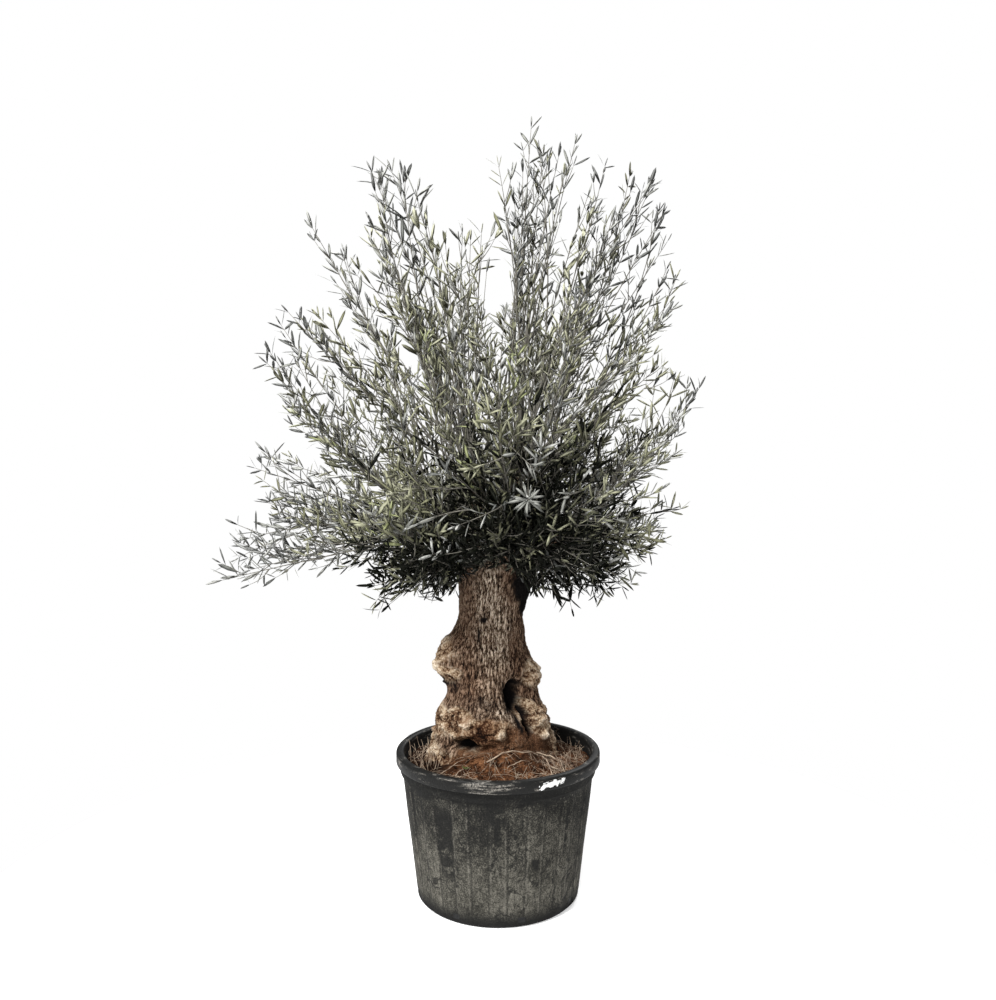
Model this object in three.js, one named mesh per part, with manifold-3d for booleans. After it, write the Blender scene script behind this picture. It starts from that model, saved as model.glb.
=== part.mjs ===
// Old olive grown as a large bonsai: a stout burred trunk, short boughs and a wide open crown,
// in a nursery pot.
// Millimetres, +Z up. The origin is on the floor under the middle of the pot, and the tree's front faces -Y.
import * as THREE from "three";
import { mergeVertices } from "three/addons/utils/BufferGeometryUtils.js";
import Module from "manifold-3d";

const wasm = await Module();
wasm.setup();

// Gap that separate pieces keep to each other, and the distance under which vertices are one
const CLEARANCE = 0.3;
const MERGE_DISTANCE = 0.001;

// Pot: a tapered ribbed tub with a rolled lip
const POT_HEIGHT = 480;
const LIP_RADIUS = 331;
const LIP_HEIGHT = 38;
const LIP_ROLL = 12;
const COLLAR_RADIUS = 317;
const COLLAR_HEIGHT = 34;
const WALL_TOP_RADIUS = 311;
const BASE_RADIUS = 263;
const BASE_CHAMFER = 10;
const WALL_THICKNESS = 6;
const FLOOR_THICKNESS = 8;
const RIBS = 16;
const RIB_DEPTH = 2.5;
const RIB_HALF_ANGLES = [-0.11, -0.075, 0.075, 0.11];

// Soil: lowest at the pot's wall, heaped against the front of the trunk
const SOIL_EDGE = 430;
const SOIL_WALL_GAP = 1.5;
const SOIL_SIDES = 32;
const SOIL_RINGS = 5;
const HEAP_HEIGHT = 88;
const HEAP_CENTRE = new THREE.Vector2(20, -110);
const HEAP_SPREAD = 184;

// Trunk: smooth stations from the flat cut at the soil up to the head, as height, middle and half widths
const TRUNK_SIDES = 26;
const TRUNK_STEPS = 22;
const TRUNK_STATIONS = [
  { z: 430, x: -17, y: 12, halfWidth: 208, halfDepth: 196 },
  { z: 535, x: -15, y: 8, halfWidth: 185, halfDepth: 172 },
  { z: 634, x: -19, y: 4, halfWidth: 149, halfDepth: 142 },
  { z: 700, x: -21, y: 2, halfWidth: 129, halfDepth: 126 },
  { z: 766, x: -23, y: 0, halfWidth: 115, halfDepth: 114 },
  { z: 832, x: -23, y: 0, halfWidth: 107, halfDepth: 106 },
  { z: 914, x: -22, y: 0, halfWidth: 104, halfDepth: 102 },
  { z: 1012, x: -10, y: 4, halfWidth: 116, halfDepth: 110 },
  { z: 1077, x: -4, y: 6, halfWidth: 124, halfDepth: 118 },
  { z: 1155, x: -2, y: 6, halfWidth: 120, halfDepth: 116 },
];
const TRUNK_FOOT = TRUNK_STATIONS[0].z;
const TRUNK_HEAD = TRUNK_STATIONS.at(-1).z;
const HEAD_DOME = 75;
const HEAD_CLOSING = 0.88;

// Burrs swell the trunk and hollows sink into it. Angles are degrees from +X, so -90 is the front.
const BURRS = [
  { angle: 183, z: 800, proud: 62, wide: 75, tall: 55 },
  { angle: 190, z: 735, proud: 40, wide: 70, tall: 45 },
  { angle: 178, z: 585, proud: 25, wide: 80, tall: 50 },
  { angle: 190, z: 450, proud: 24, wide: 90, tall: 55 },
  { angle: -5, z: 725, proud: 36, wide: 70, tall: 55 },
  { angle: -12, z: 590, proud: 20, wide: 70, tall: 50 },
  { angle: 0, z: 450, proud: 14, wide: 90, tall: 55 },
  { angle: -98, z: 570, proud: 24, wide: 60, tall: 42 },
  { angle: -130, z: 600, proud: 20, wide: 48, tall: 40 },
  { angle: -42, z: 628, proud: 22, wide: 42, tall: 36 },
  { angle: 75, z: 690, proud: 38, wide: 70, tall: 60 },
  { angle: 110, z: 540, proud: 28, wide: 85, tall: 60 },
  { angle: 45, z: 500, proud: 26, wide: 80, tall: 60 },
];
const HOLLOWS = [
  { angle: -52, z: 668, deep: 70, wide: 40, tall: 52 },
  { angle: -44, z: 588, deep: 30, wide: 18, tall: 56 },
  { angle: -122, z: 525, deep: 48, wide: 52, tall: 22 },
  { angle: 145, z: 620, deep: 34, wide: 32, tall: 60 },
];

// Crown: boughs leave the trunk's head and carry masses of foliage, each named with its furthest tip
const CROWN_CENTRE = new THREE.Vector3(-5, 0, 1100);
const BOUGHS = [
  {
    name: "bough_upper_right",
    reach: 270,
    masses: {
      peak: [105, 0, 2490],
      right_top: [440, 130, 2365],
      right_upper: [540, -60, 2030],
      back_top: [40, 330, 2250],
    },
  },
  {
    name: "bough_upper_left",
    reach: 260,
    masses: { left_peak: [-350, 50, 2375], left_upper: [-590, -70, 2160], front_top: [-80, -260, 2090] },
  },
  {
    name: "bough_right",
    reach: 215,
    masses: {
      right_arm: [665, 20, 1665],
      right_front: [535, -330, 1560],
      right_low: [575, -60, 1270],
      right_under: [430, 60, 980],
    },
  },
  {
    name: "bough_left",
    reach: 225,
    masses: {
      left_arm: [-740, -30, 1780],
      left_front: [-620, -330, 1600],
      left_mid: [-830, 100, 1395],
      left_low: [-895, -100, 1035],
    },
  },
  {
    name: "bough_front_left",
    reach: 215,
    masses: {
      front_left_upper: [-270, -420, 1865],
      front_left_low: [-410, -520, 1375],
      front_left_under: [-250, -500, 1150],
      left_under: [-400, -150, 965],
    },
  },
  {
    name: "bough_front_right",
    reach: 215,
    masses: {
      front_right_upper: [225, -420, 1890],
      front_right_low: [315, -480, 1345],
      front_mid: [-20, -620, 1585],
      front_low: [-10, -520, 1215],
      front_right_under: [290, -480, 1120],
    },
  },
  {
    name: "bough_back_left",
    reach: 220,
    masses: {
      back_left_upper: [-330, 450, 2000],
      left_back: [-600, 300, 1700],
      back_left_low: [-480, 480, 1350],
      back_left_under: [-280, 470, 1110],
    },
  },
  {
    name: "bough_back_right",
    reach: 220,
    masses: {
      back_right_upper: [330, 430, 2050],
      right_back: [520, 300, 1720],
      back_right_low: [480, 450, 1330],
      back_mid: [0, 640, 1600],
      back_right_under: [200, 520, 1120],
    },
  },
];
const BOUGH_BASE_RADIUS = 30;
const BOUGH_TIP_RADIUS = 22;
const BOUGH_SIDES = 8;
const BOUGH_STEPS = 3;
const BOUGH_ROOT = new THREE.Vector3(-6, 4, 1060);
const BOUGH_RING = 85;
const BOUGH_RISE = 0.1;

// Twigs and leaves of a mass. The leaves are fewer and larger than life: each stands for a spray.
const STEM_RADIUS = 7.8;
const STEM_TIP_RADIUS = 3;
const TWIG_SIDES = 3;
const STEM_STEPS = 5;
const STEM_SINK = 12;
const STEM_OFFSET = 13.5;
const STEM_SPREAD = 1.6;
const SHOOT_SPACING = 108;
const FEWEST_SHOOTS = 3;
const SHOOT_FIRST = 0.1;
const SHOOT_LAST = 0.85;
const SHOOT_THINNING = 0.48;
const SHOOT_TIP_RADIUS = 1.6;
const SHOOT_STEPS = 2;
const SHOOT_ANGLE = 0.78;
const SHOOT_LONGEST = 0.52;
const SHOOT_SHORTEST = 0.24;
const SHOOT_VARIATION = 0.3;
const SHOOT_BEND = 0.45;
const SHOOT_LEAST_LENGTH = 60;
const SHOOT_TRIM = 0.82;
const LEAF_LENGTH = 205;
const LEAF_WIDTH = 62;
const LEAF_THICKNESS = 7;
const END_SINK = 12;
const LEAF_ANGLE = 0.58;
const LEAF_PAIR_SPACING = 120;
const FEWEST_LEAF_PAIRS = 2;
const STEM_BARE_FOOT = 70;
const SHOOT_LEAF_FIRST = 0.45;
const LEAF_LAST = 0.92;
const LEAF_SPACING = 60;
const TIP_MARGIN = 1;
const SPACE_MARGIN = 2;
const SPACE_ROUNDING = 1.2;
const SKIRT = 935;
const LIMB_MARGIN = 4;
const LIMB_SAMPLES = 40;
const GOLDEN_ANGLE = Math.PI * (3 - Math.sqrt(5));
const SEED = 20261;

const UP = new THREE.Vector3(0, 0, 1);
const ASIDE = new THREE.Vector3(1, 0, 0);
const STEEP = 0.9;

function seededRandom(seed) {
  let state = seed;
  return () => {
    state = (state + 0x6d2b79f5) | 0;
    let mixed = Math.imul(state ^ (state >>> 15), 1 | state);
    mixed = (mixed + Math.imul(mixed ^ (mixed >>> 7), 61 | mixed)) ^ mixed;
    return ((mixed ^ (mixed >>> 14)) >>> 0) / 4294967296;
  };
}

// Solids

function solidOf(geometry) {
  geometry.deleteAttribute("normal");
  geometry.deleteAttribute("uv");
  const merged = mergeVertices(geometry, MERGE_DISTANCE);
  const vertProperties = new Float32Array(merged.attributes.position.array);
  const triVerts = new Uint32Array(merged.index.array);
  return new wasm.Manifold(new wasm.Mesh({ numProp: 3, vertProperties, triVerts }));
}

// The largest body of a solid, without loose scraps or sealed hollows.
function mainBody(solid) {
  const bodies = solid.decompose();
  return bodies.reduce((best, body) => (body.volume() > best.volume() ? body : best));
}

function geometryOf(solid) {
  const { vertProperties, triVerts } = solid.getMesh();
  return new THREE.BufferGeometry()
    .setAttribute("position", new THREE.BufferAttribute(vertProperties, 3))
    .setIndex(new THREE.BufferAttribute(triVerts, 1));
}

function moveVertices(geometry, placeOf) {
  const positions = geometry.attributes.position;
  const point = new THREE.Vector3();
  for (let i = 0; i < positions.count; i++) {
    point.fromBufferAttribute(positions, i);
    const moved = placeOf(point);
    positions.setXYZ(i, moved.x, moved.y, moved.z);
  }
  return geometry;
}

// A tapering limb along a curve, closed at both ends.
function limb(curve, radiusAt, sides, steps) {
  const geometry = new THREE.CylinderGeometry(1, 1, 1, sides, steps);
  const frames = curve.computeFrenetFrames(steps);
  return moveVertices(geometry, (point) => {
    const along = point.y + 0.5;
    const step = Math.round(along * steps);
    const radius = radiusAt(along);
    return curve
      .getPointAt(along)
      .addScaledVector(frames.normals[step], point.x * radius)
      .addScaledVector(frames.binormals[step], -point.z * radius);
  });
}

// Pot and soil

function potWallRadius(z) {
  const wallTop = POT_HEIGHT - LIP_HEIGHT - COLLAR_HEIGHT;
  return BASE_RADIUS + ((WALL_TOP_RADIUS - BASE_RADIUS) * z) / wallTop;
}

function potProfile() {
  const lipFoot = POT_HEIGHT - LIP_HEIGHT;
  const collarFoot = lipFoot - COLLAR_HEIGHT;
  const inside = WALL_TOP_RADIUS - WALL_THICKNESS;
  return [
    [0, 0],
    [BASE_RADIUS - BASE_CHAMFER, 0],
    [BASE_RADIUS, BASE_CHAMFER],
    [potWallRadius(collarFoot), collarFoot],
    [COLLAR_RADIUS, collarFoot + RIB_DEPTH],
    [COLLAR_RADIUS, lipFoot],
    [LIP_RADIUS, lipFoot],
    [LIP_RADIUS, POT_HEIGHT - LIP_ROLL],
    [LIP_RADIUS - LIP_ROLL / 2, POT_HEIGHT],
    [inside + LIP_ROLL / 2, POT_HEIGHT],
    [inside, POT_HEIGHT - LIP_ROLL],
    [inside, collarFoot],
    [BASE_RADIUS - WALL_THICKNESS, FLOOR_THICKNESS],
    [0, FLOOR_THICKNESS],
  ].map(([radius, height]) => new THREE.Vector2(radius, height));
}

// Four vertices to each rib: its two flat edges, and the feet of its flanks, where the wall is sunk.
function makePot() {
  const perRib = RIB_HALF_ANGLES.length;
  const segments = RIBS * perRib;
  const geometry = new THREE.LatheGeometry(potProfile(), segments).rotateX(Math.PI / 2);
  const wallFoot = BASE_CHAMFER;
  const wallTop = POT_HEIGHT - LIP_HEIGHT - COLLAR_HEIGHT;
  return moveVertices(geometry, (point) => {
    const turn = Math.atan2(point.y, point.x) / (2 * Math.PI);
    const segment = (Math.round(turn * segments) + segments) % segments;
    const angle = (Math.floor(segment / perRib) * 2 * Math.PI) / RIBS + RIB_HALF_ANGLES[segment % perRib];
    const radius = Math.hypot(point.x, point.y);
    const onFlank = [0, perRib - 1].includes(segment % perRib);
    const outside = radius > potWallRadius(point.z) - WALL_THICKNESS / 2;
    const onWall = outside && point.z >= wallFoot && point.z <= wallTop;
    const sunk = onFlank && onWall ? radius - RIB_DEPTH : radius;
    return new THREE.Vector3(sunk * Math.cos(angle), sunk * Math.sin(angle), point.z);
  });
}

function soilHeight(x, y) {
  const away = HEAP_CENTRE.distanceTo(new THREE.Vector2(x, y)) / HEAP_SPREAD;
  return SOIL_EDGE + HEAP_HEIGHT * Math.exp(-away * away);
}

function makeSoil(trunkPocket) {
  const narrowing = Math.cos(Math.PI / RIBS - RIB_HALF_ANGLES.at(-1));
  const inPot = (wallRadius) => (wallRadius - WALL_THICKNESS) * narrowing - SOIL_WALL_GAP;
  const foot = FLOOR_THICKNESS + CLEARANCE;
  const radius = inPot(WALL_TOP_RADIUS);
  const profile = [
    new THREE.Vector2(0, foot),
    new THREE.Vector2(inPot(BASE_RADIUS), foot),
    new THREE.Vector2(radius, POT_HEIGHT - LIP_HEIGHT - COLLAR_HEIGHT),
  ];
  for (let ring = SOIL_RINGS; ring >= 0; ring--) {
    profile.push(new THREE.Vector2((radius * ring) / SOIL_RINGS, SOIL_EDGE));
  }
  const geometry = new THREE.LatheGeometry(profile, SOIL_SIDES).rotateX(Math.PI / 2);
  moveVertices(geometry, (point) => {
    const onTop = point.z > SOIL_EDGE - CLEARANCE;
    return new THREE.Vector3(point.x, point.y, onTop ? soilHeight(point.x, point.y) : point.z);
  });
  return geometryOf(mainBody(solidOf(geometry).subtract(trunkPocket)));
}

// Trunk

function stationAt(z) {
  const last = TRUNK_STATIONS.length - 1;
  const upper = Math.min(Math.max(TRUNK_STATIONS.findIndex((s) => s.z >= z), 1), last);
  const below = TRUNK_STATIONS[upper - 1];
  const above = TRUNK_STATIONS[upper];
  const share = THREE.MathUtils.clamp((z - below.z) / (above.z - below.z), 0, 1);
  const blend = (key) => THREE.MathUtils.lerp(below[key], above[key], share);
  return { x: blend("x"), y: blend("y"), halfWidth: blend("halfWidth"), halfDepth: blend("halfDepth") };
}

// How much of a burr or hollow is felt at an angle and height, from 1 at its middle to 0.
function swelling(spot, angle, z, radius) {
  const turn = Math.atan2(Math.sin(angle - spot.angle), Math.cos(angle - spot.angle));
  const across = (turn * radius) / spot.wide;
  const along = (z - spot.z) / spot.tall;
  return Math.exp(-across * across - along * along);
}

const inRadians = (spot) => ({ ...spot, angle: THREE.MathUtils.degToRad(spot.angle) });
const burrs = BURRS.map(inRadians);
const hollows = HOLLOWS.map(inRadians);

function trunkRadius(angle, z) {
  const { halfWidth, halfDepth } = stationAt(z);
  const plain = 1 / Math.hypot(Math.cos(angle) / halfWidth, Math.sin(angle) / halfDepth);
  const out = burrs.reduce((sum, spot) => sum + spot.proud * swelling(spot, angle, z, plain), 0);
  const inward = hollows.reduce((sum, spot) => sum + spot.deep * swelling(spot, angle, z, plain), 0);
  const domed = Math.max(0, (z - (TRUNK_HEAD - HEAD_DOME)) / HEAD_DOME);
  return (plain + out - inward) * Math.sqrt(1 - HEAD_CLOSING * domed * domed);
}

// The trunk's solid, swollen by a margin to cut its pocket out of what it stands in or carries.
function trunkSolid(margin) {
  const geometry = new THREE.CylinderGeometry(1, 1, 1, TRUNK_SIDES, TRUNK_STEPS).rotateX(Math.PI / 2);
  moveVertices(geometry, (point) => {
    const z = THREE.MathUtils.lerp(TRUNK_FOOT, TRUNK_HEAD, point.z + 0.5);
    const angle = Math.atan2(point.y, point.x);
    const radius = Math.hypot(point.x, point.y) * (trunkRadius(angle, z) + margin);
    const { x, y } = stationAt(z);
    const atEnd = Math.abs(point.z) > 0.5 - MERGE_DISTANCE;
    const end = atEnd ? Math.sign(point.z) * margin : 0;
    return new THREE.Vector3(x + radius * Math.cos(angle), y + radius * Math.sin(angle), z + end);
  });
  return solidOf(geometry);
}

// Boughs

function directionTo(tip) {
  return new THREE.Vector3(...tip).sub(CROWN_CENTRE).normalize();
}

function boughPlan({ name, reach, masses }) {
  const heading = new THREE.Vector3();
  Object.values(masses).forEach((tip) => heading.add(directionTo(tip)));
  heading.normalize();
  const tip = CROWN_CENTRE.clone().addScaledVector(heading, reach);
  const outward = heading.clone().setZ(0).multiplyScalar(BOUGH_RING);
  const root = BOUGH_ROOT.clone().add(outward);
  const middle = root.clone().lerp(tip, 0.5).addScaledVector(UP, reach * BOUGH_RISE);
  const curve = new THREE.QuadraticBezierCurve3(root, middle, tip);
  return { name, masses, tip, curve, end: curve.getTangentAt(1) };
}

function boughSolid(plan, margin) {
  const radiusAt = (along) => THREE.MathUtils.lerp(BOUGH_BASE_RADIUS, BOUGH_TIP_RADIUS, along) + margin;
  const longer = plan.tip.clone().addScaledVector(plan.end, margin);
  const curve = new THREE.QuadraticBezierCurve3(plan.curve.v0, plan.curve.v1, longer);
  return solidOf(limb(curve, radiusAt, BOUGH_SIDES, BOUGH_STEPS));
}

// Masses of foliage

// A mass's space is the cone of directions from the crown's centre that lie nearer to its own tip
// than to any other. It rounds off from the tip to the sides, and ends at the crown's lower edge.
function spaceOf(mass, masses) {
  const reach = CROWN_CENTRE.distanceTo(mass.tip);
  const walls = masses
    .filter((other) => other !== mass)
    .map((other) => mass.direction.clone().sub(other.direction).normalize());
  const away = new THREE.Vector3();
  return (point) => {
    away.subVectors(point, CROWN_CENTRE);
    const limit = reach * (1 - SPACE_ROUNDING * away.angleTo(mass.direction) ** 2);
    return point.z > SKIRT && away.length() <= limit && walls.every((wall) => wall.dot(away) > SPACE_MARGIN);
  };
}

// True where a point is clear of every limb, each given as points along it and a radius there.
function clearOf(limbs) {
  return (point) =>
    limbs.every(({ points, radius }) => points.every((at) => at.distanceTo(point) > radius + LIMB_MARGIN));
}

function pointsAlong(curve, count) {
  return Array.from({ length: count + 1 }, (_, i) => curve.getPointAt(i / count));
}

// The point on the straight steps that a limb's solid follows, so that what grows there is rooted in it.
function rootPoint(curve, steps, along) {
  const step = Math.min(Math.floor(along * steps), steps - 1);
  const from = curve.getPointAt(step / steps);
  return from.lerp(curve.getPointAt((step + 1) / steps), along * steps - step);
}

// Each stem of a bough leaves its end face at its own side, and bends over towards its mass's tip.
function stemCurve(mass, plan, siblings) {
  const mean = new THREE.Vector3();
  siblings.forEach((other) => mean.add(other.tip.clone().sub(plan.tip).normalize()));
  mean.normalize();
  const aim = mass.tip.clone().sub(plan.tip).normalize();
  const spread = mean.clone().addScaledVector(aim.clone().sub(mean), STEM_SPREAD).normalize();
  const side = spread.clone().addScaledVector(plan.end, -spread.dot(plan.end)).normalize();
  const start = plan.tip.clone().addScaledVector(plan.end, -STEM_SINK).addScaledVector(side, STEM_OFFSET);
  const length = start.distanceTo(mass.tip);
  const middle = start.clone().addScaledVector(spread, (length - LEAF_LENGTH) * 0.5);
  const last = mass.tip.clone().sub(middle).normalize();
  const end = mass.tip.clone().addScaledVector(last, END_SINK - TIP_MARGIN - LEAF_LENGTH);
  return new THREE.QuadraticBezierCurve3(start, middle, end);
}

function stemRadius(along) {
  return THREE.MathUtils.lerp(STEM_RADIUS, STEM_TIP_RADIUS, along);
}

function stemTwig(curve) {
  return limb(curve, stemRadius, TWIG_SIDES, STEM_STEPS);
}

// A shoot is thin enough at its foot to be rooted inside the stem.
function shootTwig(curve, at) {
  const foot = stemRadius(at) * SHOOT_THINNING;
  return limb(curve, (along) => THREE.MathUtils.lerp(foot, SHOOT_TIP_RADIUS, along), TWIG_SIDES, SHOOT_STEPS);
}

// A leaf of eight faces whose root is at a point and which lies along a direction, its face turned to facing.
function leaf(root, along, facing) {
  const across = new THREE.Vector3().crossVectors(facing, along).normalize();
  const normal = new THREE.Vector3().crossVectors(along, across);
  const frame = new THREE.Matrix4().makeBasis(along, across, normal).setPosition(root);
  return new THREE.OctahedronGeometry(1)
    .scale(LEAF_LENGTH / 2, LEAF_WIDTH / 2, LEAF_THICKNESS / 2)
    .translate(LEAF_LENGTH / 2, 0, 0)
    .applyMatrix4(frame);
}

// The direction square to a twig from which turns about it are counted.
function squareTo(tangent) {
  const helper = Math.abs(tangent.z) < STEEP ? UP : ASIDE;
  return new THREE.Vector3().crossVectors(tangent, helper).normalize();
}

// Leaf roots, directions and faces along a twig: an end leaf, and opposite pairs, each turned a quarter
// from the last.
function leafPlaces(curve, steps, first, turn) {
  const leafy = curve.getLength() * (1 - first);
  const pairs = Math.max(FEWEST_LEAF_PAIRS, Math.round(leafy / LEAF_PAIR_SPACING));
  const tangentEnd = curve.getTangentAt(1);
  const end = curve.getPointAt(1).addScaledVector(tangentEnd, -END_SINK);
  const flat = squareTo(tangentEnd).applyAxisAngle(tangentEnd, turn);
  const places = [{ root: end, along: tangentEnd, facing: flat }];
  for (let pair = 0; pair < pairs; pair++) {
    const at = THREE.MathUtils.lerp(first, LEAF_LAST, pair / (pairs - 1));
    const tangent = curve.getTangentAt(at);
    const side = squareTo(tangent).applyAxisAngle(tangent, turn + (pair * Math.PI) / 2);
    [1, -1].forEach((hand) => {
      const along = tangent.clone().multiplyScalar(Math.cos(LEAF_ANGLE));
      along.addScaledVector(side, hand * Math.sin(LEAF_ANGLE)).normalize();
      places.push({ root: rootPoint(curve, steps, at), along, facing: tangent });
    });
  }
  return places;
}

// A shoot that leaves the stem at a wide angle and bends some way back to the stem's direction.
function shootCurve(stem, at, turn, length) {
  const from = rootPoint(stem, STEM_STEPS, at);
  const tangent = stem.getTangentAt(at);
  const side = squareTo(tangent).applyAxisAngle(tangent, turn);
  const out = tangent.clone().multiplyScalar(Math.cos(SHOOT_ANGLE));
  out.addScaledVector(side, Math.sin(SHOOT_ANGLE));
  const middle = from.clone().addScaledVector(out, length * 0.5);
  const end = middle.clone().addScaledVector(out.lerp(tangent, SHOOT_BEND).normalize(), length * 0.5);
  return new THREE.QuadraticBezierCurve3(from, middle, end);
}

// A side shoot, shortened until it lies in the mass's space, or nothing where too little of it would be left.
function fittedShoot(stem, at, turn, length, isFree) {
  for (let left = length; left > SHOOT_LEAST_LENGTH; left *= SHOOT_TRIM) {
    const curve = shootCurve(stem, at, turn, left);
    if (pointsAlong(curve, SHOOT_STEPS).slice(1).every(isFree)) return curve;
  }
  return null;
}

// The leaves of a twig that lie in the mass's space and not on another leaf. Their middles are kept in taken.
function leavesOn(curve, steps, first, turn, isFree, taken) {
  const corner = new THREE.Vector3();
  const grown = [];
  leafPlaces(curve, steps, first, turn).forEach(({ root, along, facing }) => {
    const geometry = leaf(root, along, facing);
    const middle = root.clone().addScaledVector(along, LEAF_LENGTH / 2);
    const { array, count } = geometry.attributes.position;
    const fits = Array.from({ length: count }).every((_, i) => isFree(corner.fromArray(array, i * 3)));
    if (!fits || taken.some((other) => other.distanceTo(middle) < LEAF_SPACING)) return;
    taken.push(middle);
    grown.push(geometry);
  });
  return grown;
}

// One stem with its leaves, and side shoots turned by the golden angle, longest near its foot.
function massSolid(mass, isFree, random) {
  const pieces = [stemTwig(mass.stem)];
  const taken = [];
  const stemLength = mass.stem.getLength();
  const bare = STEM_BARE_FOOT / stemLength;
  pieces.push(...leavesOn(mass.stem, STEM_STEPS, bare, random() * Math.PI, isFree, taken));
  const firstTurn = random() * 2 * Math.PI;
  const shoots = Math.max(FEWEST_SHOOTS, Math.round(stemLength / SHOOT_SPACING));
  for (let shoot = 0; shoot < shoots; shoot++) {
    const share = shoot / (shoots - 1);
    const at = THREE.MathUtils.lerp(SHOOT_FIRST, SHOOT_LAST, share);
    const varied = 1 + SHOOT_VARIATION * (random() - 0.5);
    const length = stemLength * THREE.MathUtils.lerp(SHOOT_LONGEST, SHOOT_SHORTEST, share) * varied;
    const curve = fittedShoot(mass.stem, at, firstTurn + shoot * GOLDEN_ANGLE, length, isFree);
    const turn = random() * Math.PI;
    const leaves = curve ? leavesOn(curve, SHOOT_STEPS, SHOOT_LEAF_FIRST, turn, isFree, taken) : [];
    if (leaves.length > 0) pieces.push(shootTwig(curve, at), ...leaves);
  }
  return pieces.map(solidOf).reduce((joined, piece) => joined.add(piece));
}

// The plant

const finish = (color, roughness) => new THREE.MeshStandardMaterial({ color, roughness, metalness: 0 });

function named(name, geometry, material) {
  const mesh = new THREE.Mesh(geometry, material);
  mesh.name = name;
  return mesh;
}

const blackPlastic = () => finish(0x3b3a37, 0.7);
const redEarth = () => finish(0x6b4026, 0.95);
const bark = () => finish(0x7d6a55, 0.95);
const oliveLeaf = () => finish(0x6c7262, 0.65);

const trunkPocket = trunkSolid(CLEARANCE);
const container = new THREE.Group();
container.add(named("pot", makePot(), blackPlastic()), named("soil", makeSoil(trunkPocket), redEarth()));

const wood = new THREE.Group();
wood.add(named("trunk", geometryOf(trunkSolid(0)), bark()));
const plans = BOUGHS.map(boughPlan);
plans.forEach((plan) => {
  const shape = mainBody(boughSolid(plan, 0).subtract(trunkPocket));
  wood.add(named(plan.name, geometryOf(shape), bark()));
});

const masses = plans.flatMap((plan) =>
  Object.entries(plan.masses).map(([name, tip]) => ({
    name: `foliage_${name}`,
    plan,
    tip: new THREE.Vector3(...tip),
    direction: directionTo(tip),
  })),
);
masses.forEach((mass) => {
  const siblings = masses.filter((other) => other.plan === mass.plan);
  mass.stem = stemCurve(mass, mass.plan, siblings);
});

const trunkLimbs = TRUNK_STATIONS.map(({ x, y, z, halfWidth }) => ({
  points: [new THREE.Vector3(x, y, z)],
  radius: halfWidth,
}));
const boughLimbs = plans.map(({ curve }) => ({
  points: pointsAlong(curve, LIMB_SAMPLES),
  radius: BOUGH_BASE_RADIUS,
}));
const crown = new THREE.Group();
masses.forEach((mass, index) => {
  const otherStems = masses
    .filter((other) => other !== mass)
    .map(({ stem }) => ({ points: pointsAlong(stem, LIMB_SAMPLES), radius: STEM_RADIUS }));
  const inSpace = spaceOf(mass, masses);
  const isClear = clearOf([...trunkLimbs, ...boughLimbs, ...otherStems]);
  const isFree = (point) => inSpace(point) && isClear(point);
  const grown = massSolid(mass, isFree, seededRandom(SEED + index));
  const shape = mainBody(grown.subtract(boughSolid(mass.plan, CLEARANCE)));
  crown.add(named(mass.name, geometryOf(shape), oliveLeaf()));
});

const olive = new THREE.Group();
olive.add(container, wood, crown);

export default olive;
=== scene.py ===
# Dresses the potted olive: a stained tub, red earth, relief bark, and a crown grown leaf by leaf.
# Metres, +Z up, the tree's front to -Y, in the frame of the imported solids.
import math
import random

import bmesh
import bpy
import numpy as np
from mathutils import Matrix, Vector, noise


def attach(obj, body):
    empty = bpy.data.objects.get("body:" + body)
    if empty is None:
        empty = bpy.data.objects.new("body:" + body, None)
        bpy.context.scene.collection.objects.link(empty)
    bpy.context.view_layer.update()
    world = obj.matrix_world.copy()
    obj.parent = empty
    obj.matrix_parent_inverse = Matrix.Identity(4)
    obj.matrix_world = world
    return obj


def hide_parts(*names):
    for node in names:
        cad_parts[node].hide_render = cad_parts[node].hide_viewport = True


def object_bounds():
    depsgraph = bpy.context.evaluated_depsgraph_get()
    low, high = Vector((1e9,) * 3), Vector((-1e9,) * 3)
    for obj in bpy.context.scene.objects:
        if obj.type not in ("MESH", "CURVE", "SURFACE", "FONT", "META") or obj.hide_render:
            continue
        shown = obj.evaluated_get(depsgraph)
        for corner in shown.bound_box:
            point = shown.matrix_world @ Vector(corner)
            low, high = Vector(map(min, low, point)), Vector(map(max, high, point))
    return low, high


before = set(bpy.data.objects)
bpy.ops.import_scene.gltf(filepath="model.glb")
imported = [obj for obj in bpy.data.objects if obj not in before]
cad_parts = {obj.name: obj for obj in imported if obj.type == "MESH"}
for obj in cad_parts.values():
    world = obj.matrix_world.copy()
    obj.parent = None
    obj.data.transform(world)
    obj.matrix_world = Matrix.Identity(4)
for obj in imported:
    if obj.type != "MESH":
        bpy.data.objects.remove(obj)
cad_low, cad_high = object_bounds()
masses_in_cad = sorted(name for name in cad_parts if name.startswith("foliage_"))
boughs_in_cad = sorted(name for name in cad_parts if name.startswith("bough_"))

# Camera, as the photograph was taken
EYE = Vector((0.0, -3.113, 1.495))
TILT = math.radians(3.83)
LENS = 34.99

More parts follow.
